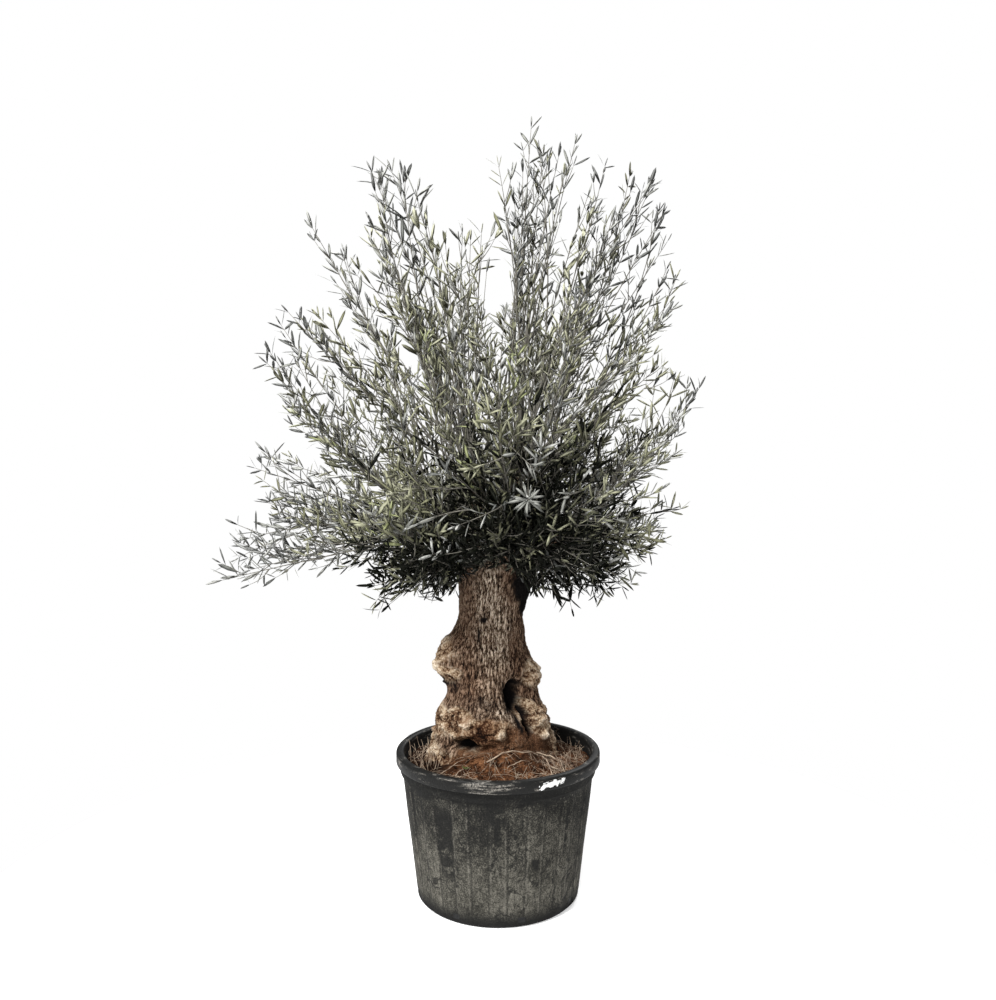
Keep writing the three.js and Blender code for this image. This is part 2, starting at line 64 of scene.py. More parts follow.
# Pot
POT_HEIGHT = 0.480
LIP_RADIUS = 0.331
LIP_HEIGHT = 0.038
COLLAR_RADIUS = 0.317
COLLAR_HEIGHT = 0.034
WALL_TOP_RADIUS = 0.311
BASE_RADIUS = 0.263
BASE_CHAMFER = 0.010
WALL_THICKNESS = 0.006
FLOOR_THICKNESS = 0.008
RIBS = 16
RIB_DEPTH = 0.0025
RIB_FLAT = 0.075
RIB_FOOT = 0.110
POT_SEGMENTS = 192
COLLAR_FOOT = POT_HEIGHT - LIP_HEIGHT - COLLAR_HEIGHT
LIP_FOOT = POT_HEIGHT - LIP_HEIGHT
LIP_ROUNDING = 0.009
COLLAR_ROUNDING = 0.003
WALL_DENTS = 0.0014
LIP_WAVES = 0.0012

# Shallow drain notches low on the wall, with their turns in degrees
NOTCH_LOW = 0.014
NOTCH_HIGH = 0.034
NOTCH_PITCH = 45
NOTCH_TURN = 16
NOTCH_HALF_TURN = 3.6
NOTCH_BORDER = 0.0012
NOTCH_DEPTH = 0.0045
WALL_RINGS = (NOTCH_LOW, NOTCH_HIGH, 0.09, 0.15, 0.21, 0.27, 0.33, 0.38)

# Torn scrap on the lip, with its turn and span in degrees
SCRAP_TURN = -60.5
SCRAP_SPAN = 16.0
SCRAP_MIDDLE = LIP_FOOT + 0.018
SCRAP_HEIGHT = 0.024
SCRAP_SLANT = 0.014
SCRAP_CLEARANCE = 0.0004
SCRAP_THICKNESS = 0.0003

# Dark smears on the pot's wall: turn in degrees, height, half the turn and half the height
STAINS = [
    (-123, 0.250, 6.2, 0.125),
    (-92, 0.385, 7.0, 0.046),
    (-90.5, 0.310, 1.6, 0.045),
    (-76, 0.405, 6.0, 0.016),
    (-58, 0.402, 7.0, 0.020),
    (-137, 0.400, 8.0, 0.016),
    (-67, 0.200, 3.0, 0.022),
    (-45, 0.290, 1.6, 0.080),
    (-151, 0.330, 2.0, 0.060),
    (22, 0.300, 5.0, 0.090),
    (80, 0.270, 6.0, 0.110),
    (150, 0.360, 8.0, 0.050),
]

# Earth
SOIL_EDGE = 0.430
SOIL_RADIUS = 0.3025
HEAP_HEIGHT = 0.088
HEAP_CENTRE = Vector((0.020, -0.110))
HEAP_SPREAD = 0.184
EARTH_FOOT = 0.36
EARTH_RINGS = 64
EARTH_SEGMENTS = 220
CRUMBS = 1500

# Dry grass: each kind's name, count and thickness, and the clumps as a middle and a spread each way
GRASS = [("dry_grass", 220, 0.0006), ("dry_straw", 84, 0.0008)]
RIGHT_CLUMP = ((0.180, 0.048), (-0.125, 0.060))
FRONT_CLUMP = ((-0.02, 0.09), (-0.215, 0.030))
GRASS_RING = 0.268
BARE_LEFT = -0.16
GRASS_STEPS = 7

# Pale twigs on the earth, by the places that they lie over; the first three are the stoutest
PALE_TWIGS = [
    [(-0.035, -0.200), (0.030, -0.178), (0.090, -0.165), (0.140, -0.130)],
    [(0.120, -0.120), (0.165, -0.125), (0.195, -0.135), (0.210, -0.225)],
    [(0.138, -0.130), (0.148, -0.170), (0.160, -0.205), (0.166, -0.240)],
    [(0.150, -0.180), (0.185, -0.200), (0.205, -0.190), (0.240, -0.160)],
    [(0.205, -0.190), (0.225, -0.205), (0.235, -0.195), (0.250, -0.150)],
    [(0.030, -0.232), (0.055, -0.222), (0.075, -0.210), (0.092, -0.192)],
    [(-0.180, -0.205), (-0.150, -0.190), (-0.125, -0.165), (-0.100, -0.150)],
    [(-0.130, -0.235), (-0.120, -0.226), (-0.105, -0.220), (-0.092, -0.206)],
]
STOUT_TWIGS = 3
PALE_TWIG_STEPS = 13

# Standing stalks: turn of the clump in degrees, height and count
STALKS = [(205, 0.08, 26), (160, 0.06, 16), (20, 0.05, 22), (-25, 0.05, 18), (90, 0.05, 16)]
STALK_REACH = 0.298

# A small green sprout at the front
WEED_PLACE = (-0.098, -0.205)
WEED_LEAVES = 9

# Trunk, from the foot up: height, middle and half widths
TRUNK_STATIONS = np.array([
    [0.430, -0.017, 0.012, 0.208, 0.196],
    [0.535, -0.015, 0.008, 0.185, 0.172],
    [0.634, -0.019, 0.004, 0.149, 0.142],
    [0.700, -0.021, 0.002, 0.129, 0.126],
    [0.766, -0.023, 0.000, 0.115, 0.114],
    [0.832, -0.023, 0.000, 0.107, 0.106],
    [0.914, -0.022, 0.000, 0.104, 0.102],
    [1.012, -0.010, 0.004, 0.116, 0.110],
    [1.077, -0.004, 0.006, 0.124, 0.118],
    [1.155, -0.002, 0.006, 0.120, 0.116],
])
TRUNK_FOOT = 0.405
TRUNK_HEAD = TRUNK_STATIONS[-1, 0]
TRUNK_STEPS = 288
TRUNK_SEGMENTS = 320
HEAD_DOME = 0.075
HEAD_CLOSING = 0.88
PLATE_DEPTH = 0.0045
KNOB_DEPTH = 0.026
GRAIN_DEPTH = 0.010
BURL_SINKING = 0.015
HOLLOW_DEPTH = 0.03

# Burrs and hollows of the trunk: angle in degrees, height, how far out or in, half width and half height
BURRS = [
    (183, 0.800, 0.062, 0.075, 0.055),
    (190, 0.735, 0.040, 0.070, 0.045),
    (178, 0.585, 0.025, 0.080, 0.050),
    (190, 0.450, 0.024, 0.090, 0.055),
    (-5, 0.725, 0.036, 0.070, 0.055),
    (-12, 0.590, 0.020, 0.070, 0.050),
    (0, 0.450, 0.014, 0.090, 0.055),
    (-98, 0.570, 0.024, 0.060, 0.042),
    (-130, 0.600, 0.020, 0.048, 0.040),
    (-42, 0.628, 0.022, 0.042, 0.036),
    (75, 0.690, 0.038, 0.070, 0.060),
    (110, 0.540, 0.028, 0.085, 0.060),
    (45, 0.500, 0.026, 0.080, 0.060),
]
HOLLOWS = [
    (-52, 0.668, 0.070, 0.040, 0.052),
    (-44, 0.588, 0.030, 0.018, 0.056),
    (-122, 0.525, 0.048, 0.052, 0.022),
    (145, 0.620, 0.034, 0.032, 0.060),
]

# Painted shade in the bark, in colour only, for shaded creases, the cavity and the dark places under burrs:
# angle in degrees, height, how dark, half width and half height
CREASE_SHADES = [
    (-104, 0.918, 1.0, 0.011, 0.015),
    (-108, 0.866, 0.9, 0.006, 0.034),
    (-30, 1.060, 1.9, 0.062, 0.090),
    (-12, 0.980, 1.6, 0.050, 0.070),
    (-148, 0.706, 0.62, 0.085, 0.036),
    (-168, 0.700, 0.9, 0.040, 0.026),
    (-54, 0.698, 1.1, 0.040, 0.022),
    (-63, 0.655, 1.0, 0.022, 0.040),
    (-58, 0.590, 0.9, 0.013, 0.050),
    (-60, 0.640, 0.5, 0.060, 0.080),
    (-104, 0.655, 0.56, 0.130, 0.050),
]

# Crown: how far each bough reaches from the crown's centre, and the whip tips of each mass, furthest first
CROWN_CENTRE = np.array([-0.005, 0.0, 1.100])
BOUGHS = {
    "upper_right": (0.270, {
        "peak": [
            (0.105, 0.0, 2.490), (0.0, -0.08, 2.35), (0.15, 0.12, 2.44), (0.19, -0.06, 2.38),
            (0.25, 0.05, 2.45), (0.07, 0.15, 2.30), (0.28, -0.12, 2.25), (0.13, -0.03, 2.41),
            (0.08, 0.04, 2.37),
        ],
        "right_top": [
            (0.440, 0.130, 2.365), (0.35, 0.06, 2.38), (0.48, -0.05, 2.29), (0.54, 0.12, 2.25),
            (0.36, -0.12, 2.19), (0.48, 0.20, 2.23), (0.50, 0.04, 2.31), (0.53, -0.02, 2.21),
            (0.30, -0.05, 2.24), (0.30, 0.03, 2.18),
        ],
        "right_upper": [
            (0.540, -0.060, 2.030), (0.56, 0.05, 2.14), (0.57, -0.08, 2.00), (0.58, 0.10, 1.95),
            (0.52, -0.14, 1.86), (0.55, 0.08, 1.74), (0.49, 0.15, 1.94), (0.48, -0.04, 1.77),
            (0.53, -0.10, 1.70),
        ],
        "back_top": [(0.040, 0.330, 2.250), (0.16, 0.30, 2.22), (-0.10, 0.34, 2.12)],
    }),
    "upper_left": (0.260, {
        "left_peak": [
            (-0.350, 0.050, 2.375), (-0.42, 0.10, 2.38), (-0.30, -0.06, 2.31), (-0.26, 0.02, 2.27),
            (-0.22, -0.12, 2.17), (-0.37, -0.10, 2.20), (-0.44, 0.16, 2.19), (-0.38, 0.0, 2.33),
        ],
        "left_upper": [
            (-0.590, -0.070, 2.160), (-0.52, 0.12, 2.12), (-0.44, -0.16, 2.03), (-0.57, -0.12, 1.88),
            (-0.65, 0.10, 1.88), (-0.54, 0.05, 2.01), (-0.68, -0.04, 1.90), (-0.40, -0.05, 2.12),
        ],
        "front_top": [
            (-0.080, -0.260, 2.090), (-0.16, -0.18, 2.10), (-0.11, -0.10, 2.14), (-0.02, -0.20, 2.11),
            (0.02, -0.12, 2.14), (-0.12, -0.30, 1.99), (-0.05, -0.06, 2.15), (-0.03, -0.28, 2.00),
        ],
    }),
    "right": (0.215, {
        "right_arm": [(0.665, 0.020, 1.665), (0.61, -0.10, 1.61), (0.64, 0.12, 1.54), (0.58, -0.05, 1.69)],
        "right_front": [(0.535, -0.330, 1.560)],
        "right_low": [
            (0.575, -0.060, 1.270), (0.60, 0.05, 1.45), (0.55, 0.05, 1.18), (0.51, -0.05, 1.12),
            (0.48, -0.10, 1.19), (0.47, 0.04, 1.15), (0.46, -0.14, 1.13),
        ],
        "right_under": [
            (0.430, 0.060, 0.980), (0.47, 0.02, 1.04), (0.33, 0.02, 0.985), (0.47, -0.08, 1.11),
        ],
    }),
    "left": (0.225, {
        "left_arm": [
            (-0.740, -0.030, 1.780), (-0.73, 0.10, 1.88), (-0.69, -0.16, 1.70), (-0.70, 0.05, 1.66),
            (-0.62, -0.20, 1.74), (-0.56, -0.10, 1.80),
        ],
        "left_front": [(-0.620, -0.330, 1.600)],
        "left_mid": [
            (-0.830, 0.100, 1.395), (-0.77, -0.05, 1.36), (-0.77, 0.05, 1.28), (-0.73, 0.0, 1.22),
            (-0.80, 0.12, 1.45),
        ],
        "left_low": [
            (-0.895, -0.100, 1.035), (-0.88, 0.05, 1.09), (-0.84, -0.02, 1.16), (-0.78, -0.18, 1.08),
            (-0.79, 0.10, 1.08), (-0.47, -0.14, 1.12), (-0.50, -0.05, 1.10), (-0.42, -0.20, 1.14),
        ],
    }),
    "front_left": (0.215, {
        "front_left_upper": [(-0.270, -0.420, 1.865)],
        "front_left_low": [(-0.410, -0.520, 1.375)],
        "front_left_under": [
            (-0.250, -0.500, 1.150), (-0.15, -0.30, 1.08), (-0.18, -0.24, 1.07), (-0.13, -0.36, 1.10),
            (-0.16, -0.18, 1.07), (-0.14, -0.12, 1.06), (-0.20, -0.10, 1.05), (-0.17, -0.30, 1.09),
        ],
        "left_under": [(-0.400, -0.150, 0.965), (-0.36, -0.13, 0.99)],
    }),
    "front_right": (0.215, {
        "front_right_upper": [(0.225, -0.420, 1.890)],
        "front_right_low": [(0.315, -0.480, 1.345)],
        "front_mid": [
            (-0.020, -0.620, 1.585), (0.05, -0.50, 1.74), (-0.06, -0.46, 1.80), (0.02, -0.40, 1.88),
            (0.0, -0.56, 1.66), (-0.10, -0.52, 1.62), (0.10, -0.54, 1.60),
        ],
        "front_low": [(-0.010, -0.520, 1.215), (0.10, -0.42, 1.16), (-0.10, -0.44, 1.17)],
        "front_right_under": [
            (0.290, -0.480, 1.120), (0.12, -0.24, 1.03), (0.15, -0.32, 1.04), (0.19, -0.26, 1.02),
            (0.36, -0.24, 1.07),
        ],
    }),
    "back_left": (0.220, {
        "back_left_upper": [(-0.330, 0.450, 2.000)],
        "left_back": [(-0.600, 0.300, 1.700)],
        "back_left_low": [(-0.480, 0.480, 1.350)],
        "back_left_under": [(-0.280, 0.470, 1.110)],
    }),
    "back_right": (0.220, {
        "back_right_upper": [(0.330, 0.430, 2.050)],
        "right_back": [(0.520, 0.300, 1.720)],
        "back_right_low": [(0.480, 0.450, 1.330)],
        "back_mid": [(0.0, 0.640, 1.600)],
        "back_right_under": [(0.200, 0.520, 1.120)],
    }),
}
BOUGH_ROOT = np.array([-0.006, 0.004, 1.060])
BOUGH_RING = 0.085
BOUGH_RISE = 0.1
BOUGH_BASE_RADIUS = 0.034
BOUGH_TIP_RADIUS = 0.020
BOUGH_STEPS = 40
BOUGH_SEGMENTS = 28
SPACE_ROUNDING = 1.2
TIP_MARGIN = -0.035
SHOOT_MARGIN = -0.10
ARM_HEIGHT = 1.72
RIGHT_EDGE_ABOVE_ARM = 0.605
LEAF_ROOM = 0.012
CROWN_SEED = 14

# The crown's lower edge: its height, how far it lifts before the trunk, more towards the front, out to the
# left and in the gap beside the trunk, and the clear room round the trunk's head
SKIRT = 0.935
FRONT_LIFT = 0.155
FRONT_SLOPE = 0.11
LEFT_LIFT = 0.075
GAP_LIFT = 0.065
TRUNK_ROOM = 0.135
TRUNK_ROOM_TOP = 1.16

# Places where the sky shows through the crown, as directions from the eye with their half widths
SKY_GAPS = [
    ((-0.001, 0.989, 0.150), 0.018),
    ((-0.121, 0.991, -0.063), 0.006),
    ((-0.092, 0.993, 0.082), 0.010),
    ((0.192, 0.980, 0.090), 0.022),
    ((0.204, 0.979, 0.012), 0.016),
]

# Shoots: how they turn and grow, and how thick they are at the foot and the tip
GOLDEN_ANGLE = math.pi * (3 - math.sqrt(5))
QUARTER_TURN = math.pi / 2
WHIP_STEPS = 14
WHIP_SIDES = 5
WHIP_FOOT = 0.0016
WHIP_SWELLING = 0.0028
WHIP_TIP = 0.0008
TONE_STEP = 12
FORK_STEPS = (1, 7)
TRIES = 12
BOW = 0.065
WIDER_BOW = 0.25
FIRST_SHOOT = 0.6
LAST_SHOOT = 0.9
FEWEST_SHOOTS = 3
SHOOT_STEPS = 6
SHOOT_SIDES = 3
SHOOT_TAPER = (0.0018, 0.0007)
SHOOT_RISE = np.array([0, 0, 0.30])
BARE_SHOOT = 0.20
SHORTEST_SHOOT = 0.05
SHORTENING = 0.78
INNER_SPRIGS = 13
INNER_TAPER = (0.0022, 0.0008)
BARE_INNER = 0.15
SPRIG_TAPER = (0.0020, 0.0008)
SPRIG_LIFT = 0.3
BARE_WHIP_TAPER = (0.0014, 0.0010)

# Leaves: tips may hang a little under the crown's edge; above a height one leaf in so many is left out
CROWDING = 1.35
END_LEAF = 0.52
PAIR_GAP = 0.041
LEAF_LENGTH = (0.055, 0.070)
INNER_LEAF_LENGTH = (0.052, 0.066)
SPRIG_LEAF_LENGTH = 0.056
LEAF_WIDTH = 0.150
LONG_LEAVED = {"left_peak": 1.30, "left_upper": 1.12}
HANG = np.array([0, 0, 0.018])
UPTURN = np.array([0, 0, 0.55])
LEFT_OUT = [(1.85, 5, 2), (1.28, 9, 4)]

# A leaf's outline: how far along, how far across and how high each of its corners is
LEAF_ALONG = np.array([0, 0.20, 0.20, 0.50, 0.50, 0.82, 0.82, 1.0, 0.50])
LEAF_ACROSS = np.array([0, 0.34, -0.34, 0.5, -0.5, 0.38, -0.38, 0, 0])
LEAF_DOME = np.array([0, 0, 0, 0, 0, 0, 0, 0, 0.14])
LEAF_RIM = [0, 2, 4, 6, 7, 5, 3, 1]
LEAF_UNDERSIDE = [(0, 1, 2), (1, 3, 2), (2, 3, 4), (3, 5, 4), (4, 5, 6), (5, 7, 6)]

# Tones of the leaves, each with its upper side and underside; the near-black first tone is painted shade
TONES = [
    ("deep", (0.005, 0.0055, 0.0035), (0.010, 0.011, 0.008)),
    ("dark", (0.052, 0.054, 0.049), (0.140, 0.142, 0.136)),
    ("middle", (0.108, 0.111, 0.103), (0.230, 0.232, 0.223)),
    ("light", (0.205, 0.208, 0.188), (0.345, 0.347, 0.324)),
    ("silver", (0.360, 0.363, 0.338), (0.470, 0.472, 0.452)),
    ("young", (0.205, 0.222, 0.105), (0.370, 0.382, 0.260)),
    ("moss", (0.060, 0.060, 0.035), (0.155, 0.154, 0.106)),
    ("olive", (0.136, 0.136, 0.080), (0.266, 0.265, 0.187)),
    ("sage", (0.236, 0.236, 0.157), (0.376, 0.375, 0.277)),
]
TONE_NAMES = [name for name, _, _ in TONES]

# How often each tone is dealt out: in the crown's heart and underside, where the near-black tone is painted
# shade;
# round it, in lighter olive tones, partly their own hue and partly painted light; and outside it
SHADED_TONES = np.array([0.84, 0.01, 0.01, 0.01, 0.01, 0.01, 0.07, 0.03, 0.01])
INSIDE_TONES = np.array([0.01, 0.02, 0.05, 0.06, 0.08, 0.02, 0.11, 0.31, 0.34])
OUTSIDE_TONES = np.array([0.01, 0.28, 0.37, 0.20, 0.08, 0.00, 0.02, 0.03, 0.01])

# A leafless looped whip that hangs beside the trunk's head: its foot, turn and tip
BARE_WHIPS = [((-0.250, -0.05, 1.035), (-0.207, -0.05, 0.905), (-0.140, -0.04, 1.030))]

# Pale sprigs before the crown's heart of painted shade: where each turns, its tip, its tone, its bare share,
# and the splay, gap and twist of its pairs
FRONT_SPRIGS = [
    ((0.085, -0.36, 1.375), (0.079, -0.58, 1.323), "light", 0.88, 1.15, 0.0028, GOLDEN_ANGLE),
    ((0.026, -0.47, 1.482), (0.087, -0.56, 1.521), "sage", 0.35, 0.80, 0.022, QUARTER_TURN),
    ((0.026, -0.48, 1.470), (0.090, -0.57, 1.411), "light", 0.35, 0.70, 0.024, QUARTER_TURN),
    ((-0.008, -0.47, 1.424), (-0.074, -0.56, 1.403), "sage", 0.35, 0.70, 0.024, QUARTER_TURN),
    ((0.020, -0.50, 1.300), (-0.110, -0.55, 1.254), "light", 0.40, 0.60, 0.034, QUARTER_TURN),
    ((-0.135, -0.47, 1.289), (-0.206, -0.54, 1.262), "light", 0.40, 0.60, 0.030, QUARTER_TURN),
    ((0.240, -0.42, 1.345), (0.165, -0.53, 1.325), "light", 0.40, 0.70, 0.026, QUARTER_TURN),
]

# How a mass grows, by the lowest height of its tip: its main whips, the others to a metre of reach and how
# far these go, the gap between side shoots with their angle and length, and of each whip the bare share, the
# arch upwards, how far it strays from its main and how wide its leaves splay
HABITS = [
    (1.85, {
        "mains": 4, "whips": 3.6, "far": (0.68, 0.98), "gap": 0.074, "angle": (0.30, 0.65),
        "side": (0.08, 0.14), "bare": 0.46, "arch": -0.06, "stray": 0.24, "splay": 0.62,
    }),
    (1.28, {
        "mains": 5, "whips": 8.0, "far": (0.45, 0.95), "gap": 0.070, "angle": (0.45, 1.05),
        "side": (0.08, 0.22), "bare": 0.24, "arch": -0.08, "stray": 0.34, "splay": 0.80,
    }),
    (0.00, {
        "mains": 5, "whips": 14.0, "far": (0.45, 0.95), "gap": 0.050, "angle": (0.45, 1.05),
        "side": (0.08, 0.20), "bare": 0.12, "arch": 0.05, "stray": 0.36, "splay": 0.85,
    }),
]

# Masses that are fuller or thinner than their habit
FULLNESS = {
    "peak": 0.5, "right_top": 0.6, "left_peak": 0.5, "right_upper": 0.75, "left_arm": 0.35,
    "left_upper": 0.8, "front_left_upper": 0.7, "front_right_upper": 0.9, "front_top": 0.6,
    "left_back": 0.75, "front_mid": 1.4, "left_front": 0.2, "left_mid": 0.5, "front_left_low": 1.1,
    "left_low": 0.5, "right_front": 0.4, "right_low": 0.5, "right_arm": 0.6, "front_low": 2.2,
    "left_under": 1.6, "front_left_under": 2.4, "right_under": 1.8, "front_right_under": 1.4,
}

# Chances, seeded so that each run is the same
rng = np.random.default_rng(20261)
growth = np.random.default_rng(CROWN_SEED)
dice = random.Random(20261)


# Shader sums

class Value:
    """A shader socket that can be written in Python sums; each sum adds a Math node."""

    def __init__(self, finish, socket):
        self.finish = finish
        self.socket = socket

    def maths(self, operation, first=None, second=0.0):
        first = self if first is None else first
        return self.finish.node("ShaderNodeMath", {"operation": operation}, {0: first, 1: second})

    def __add__(self, other):
        return self.maths("ADD", self, other)

    def __radd__(self, other):
        return self.maths("ADD", other, self)

    def __sub__(self, other):
        return self.maths("SUBTRACT", self, other)

    def __rsub__(self, other):
        return self.maths("SUBTRACT", other, self)

    def __mul__(self, other):
        return self.maths("MULTIPLY", self, other)

    def __rmul__(self, other):
        return self.maths("MULTIPLY", other, self)

    def above(self, low, high):
        """0 below low, 1 above high, and smooth between them."""
        return self.finish.node(
            "ShaderNodeMapRange", {"interpolation_type": "SMOOTHSTEP"}, {0: self, 1: low, 2: high}
        )


class Finish:
    """A procedural material, built up node by node on one shader."""

    def __init__(self, name, **plain):
        self.material = bpy.data.materials.new(name)
        self.material.use_nodes = True
        self.tree = self.material.node_tree
        self.shader = self.tree.nodes["Principled BSDF"]
        self.set(**plain)

    def node(self, kind, settings=None, inputs=None, output=0):
        made = self.tree.nodes.new(kind)
        for key, value in (settings or {}).items():
            if key == "stops":
                self.stops(made.color_ramp, value)
            else:
                setattr(made, key, value)
        for key, value in (inputs or {}).items():
            self.feed(made.inputs[key], value)
        return Value(self, made.outputs[output])

    def feed(self, socket, value):
        if isinstance(value, Value):
            self.tree.links.new(value.socket, socket)
        elif isinstance(value, tuple) and socket.type == "RGBA":
            socket.default_value = (*value, 1.0)
        else:
            socket.default_value = value

    def stops(self, ramp, stops):
        while len(ramp.elements) < len(stops):
            ramp.elements.new(1.0)
        for element, (place, colour) in zip(ramp.elements, stops):
            element.position = place
            element.color = (*colour, 1.0)

    def set(self, **sockets):
        for name, value in sockets.items():
            self.feed(self.shader.inputs[name.replace("_", " ").title().replace("Ior", "IOR")], value)

    def place(self, scale=(1, 1, 1)):
        spot = self.node("ShaderNodeTexCoord", output="Object")
        return self.node("ShaderNodeMapping", inputs={"Vector": spot, "Scale": scale})

    def axes(self):
        spot = self.place()
        return [self.node("ShaderNodeSeparateXYZ", inputs={0: spot}, output=axis) for axis in range(3)]

    def noise(self, scale, detail=4.0, roughness=0.55, stretch=(1, 1, 1), distortion=0.0):
        sockets = {
            "Vector": self.place(stretch),
            "Scale": scale,
            "Detail": detail,
            "Roughness": roughness,
            "Distortion": distortion,
        }
        return self.node("ShaderNodeTexNoise", inputs=sockets)

    def cells(self, scale):
        return self.node("ShaderNodeTexVoronoi", inputs={"Vector": self.place(), "Scale": scale})

    def attribute(self, name):
        return self.node("ShaderNodeAttribute", {"attribute_name": name}, output="Fac")

    def ramp(self, value, *stops):
        return self.node("ShaderNodeValToRGB", {"stops": stops}, {0: value})

    def mix(self, share, first, second, blend="MIX"):
        settings = {"data_type": "RGBA", "blend_type": blend}
        return self.node("ShaderNodeMix", settings, {0: share, 6: first, 7: second}, output=2)

    def bump(self, height, depth, strength=1.0):
        sockets = {"Height": height, "Distance": depth, "Strength": strength}
        return self.node("ShaderNodeBump", inputs=sockets)


# Pieces

def show(mesh, name, finishes, stands_for=(), smooth=True):
    piece = bpy.data.objects.new(name, mesh)
    bpy.context.scene.collection.objects.link(piece)
    for finish in finishes:
        mesh.materials.append(finish.material)
    mesh.polygons.foreach_set("use_smooth", [smooth] * len(mesh.polygons))
    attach(piece, "root")
    if stands_for:
        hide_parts(*stands_for)
    return piece


def piece_of(bm, name, finishes, stands_for=()):
    mesh = bpy.data.meshes.new(name)
    bm.to_mesh(mesh)
    bm.free()
    return show(mesh, name, finishes, stands_for)


def joined_mesh(name, vertices, triangles, kinds=None):
    """One mesh from arrays, for things that come by the thousand."""
    mesh = bpy.data.meshes.new(name)
    mesh.vertices.add(len(vertices))
    mesh.vertices.foreach_set("co", vertices.astype(np.float32).ravel())
    mesh.loops.add(triangles.size)
    mesh.loops.foreach_set("vertex_index", triangles.astype(np.int32).ravel())
    mesh.polygons.add(len(triangles))
    mesh.polygons.foreach_set("loop_start", np.arange(0, triangles.size, 3, dtype=np.int32))
    if kinds is not None:
        mesh.polygons.foreach_set("material_index", kinds.astype(np.int32))
    mesh.update(calc_edges=True)
    mesh.validate()
    return mesh


def turned(profile, segments):
    """A closed round shape, turned from a profile of radius and height that starts and ends on the axis."""
    bm = bmesh.new()
    ring = [bm.verts.new((radius, 0, height)) for radius, height in profile]
    edges = [bm.edges.new(pair) for pair in zip(ring, ring[1:])]
    round_z = {"axis": (0, 0, 1), "cent": (0, 0, 0), "angle": 2 * math.pi}
    bmesh.ops.spin(bm, geom=ring + edges, steps=segments, use_merge=True, **round_z)
    bmesh.ops.remove_doubles(bm, verts=bm.verts, dist=1e-6)
    bmesh.ops.recalc_face_normals(bm, faces=bm.faces)
    return bm


def smooth_step(value, low, high):
    share = min(max((value - low) / (high - low), 0.0), 1.0)
    return share * share * (3 - 2 * share)


def bezier(start, middle, end, steps):
    t = np.linspace(0, 1, steps + 1)[:, None]
    return (1 - t) ** 2 * start + 2 * t * (1 - t) * middle + t**2 * end


def unit(vectors):
    return vectors / np.maximum(np.linalg.norm(vectors, axis=-1, keepdims=True), 1e-9)


def tubes(lines, radii, sides):
    """Joined tapering tubes: lines is tubes by steps by 3, radii tubes by steps."""
    count, steps = radii.shape
    along = unit(np.gradient(lines, axis=1))
    chord = unit(lines[:, -1] - lines[:, 0])
    lean = np.where(np.abs(chord[:, 2:]) < 0.8, [[0.0, 0.0, 1.0]], [[1.0, 0.0, 0.0]])
    side = unit(np.cross(along, lean[:, None, :]))
    other = np.cross(along, side)
    turn = (np.arange(sides) * 2 * math.pi / sides)[:, None]
    ring = np.cos(turn) * side[:, :, None] + np.sin(turn) * other[:, :, None]
    skin = lines[:, :, None] + radii[:, :, None, None] * ring
    vertices = np.concatenate([skin.reshape(count, -1, 3), lines[:, :1], lines[:, -1:]], axis=1)
    step, corner = np.meshgrid(np.arange(steps - 1), np.arange(sides), indexing="ij")
    a = step * sides + corner
    b = step * sides + (corner + 1) % sides
    wall = np.stack([a, b, b + sides, a, b + sides, a + sides], -1).reshape(-1, 3)
    first = np.arange(sides)
    after = (first + 1) % sides
    last = (steps - 1) * sides
    foot = np.stack([np.full(sides, steps * sides), after, first], -1)
    tip = np.stack([np.full(sides, steps * sides + 1), last + first, last + after], -1)
    pattern = np.concatenate([wall, foot, tip])
    offsets = np.arange(count)[:, None, None] * vertices.shape[1]
    return vertices.reshape(-1, 3), (pattern + offsets).reshape(-1, 3)


def merged(parts):
    """Vertices and triangles of several arrays as one."""
    starts = np.cumsum([0] + [len(vertices) for vertices, _ in parts[:-1]])
    vertices = np.concatenate([vertices for vertices, _ in parts])
    triangles = np.concatenate([triangles + start for (_, triangles), start in zip(parts, starts)])
    return vertices, triangles


# Finishes

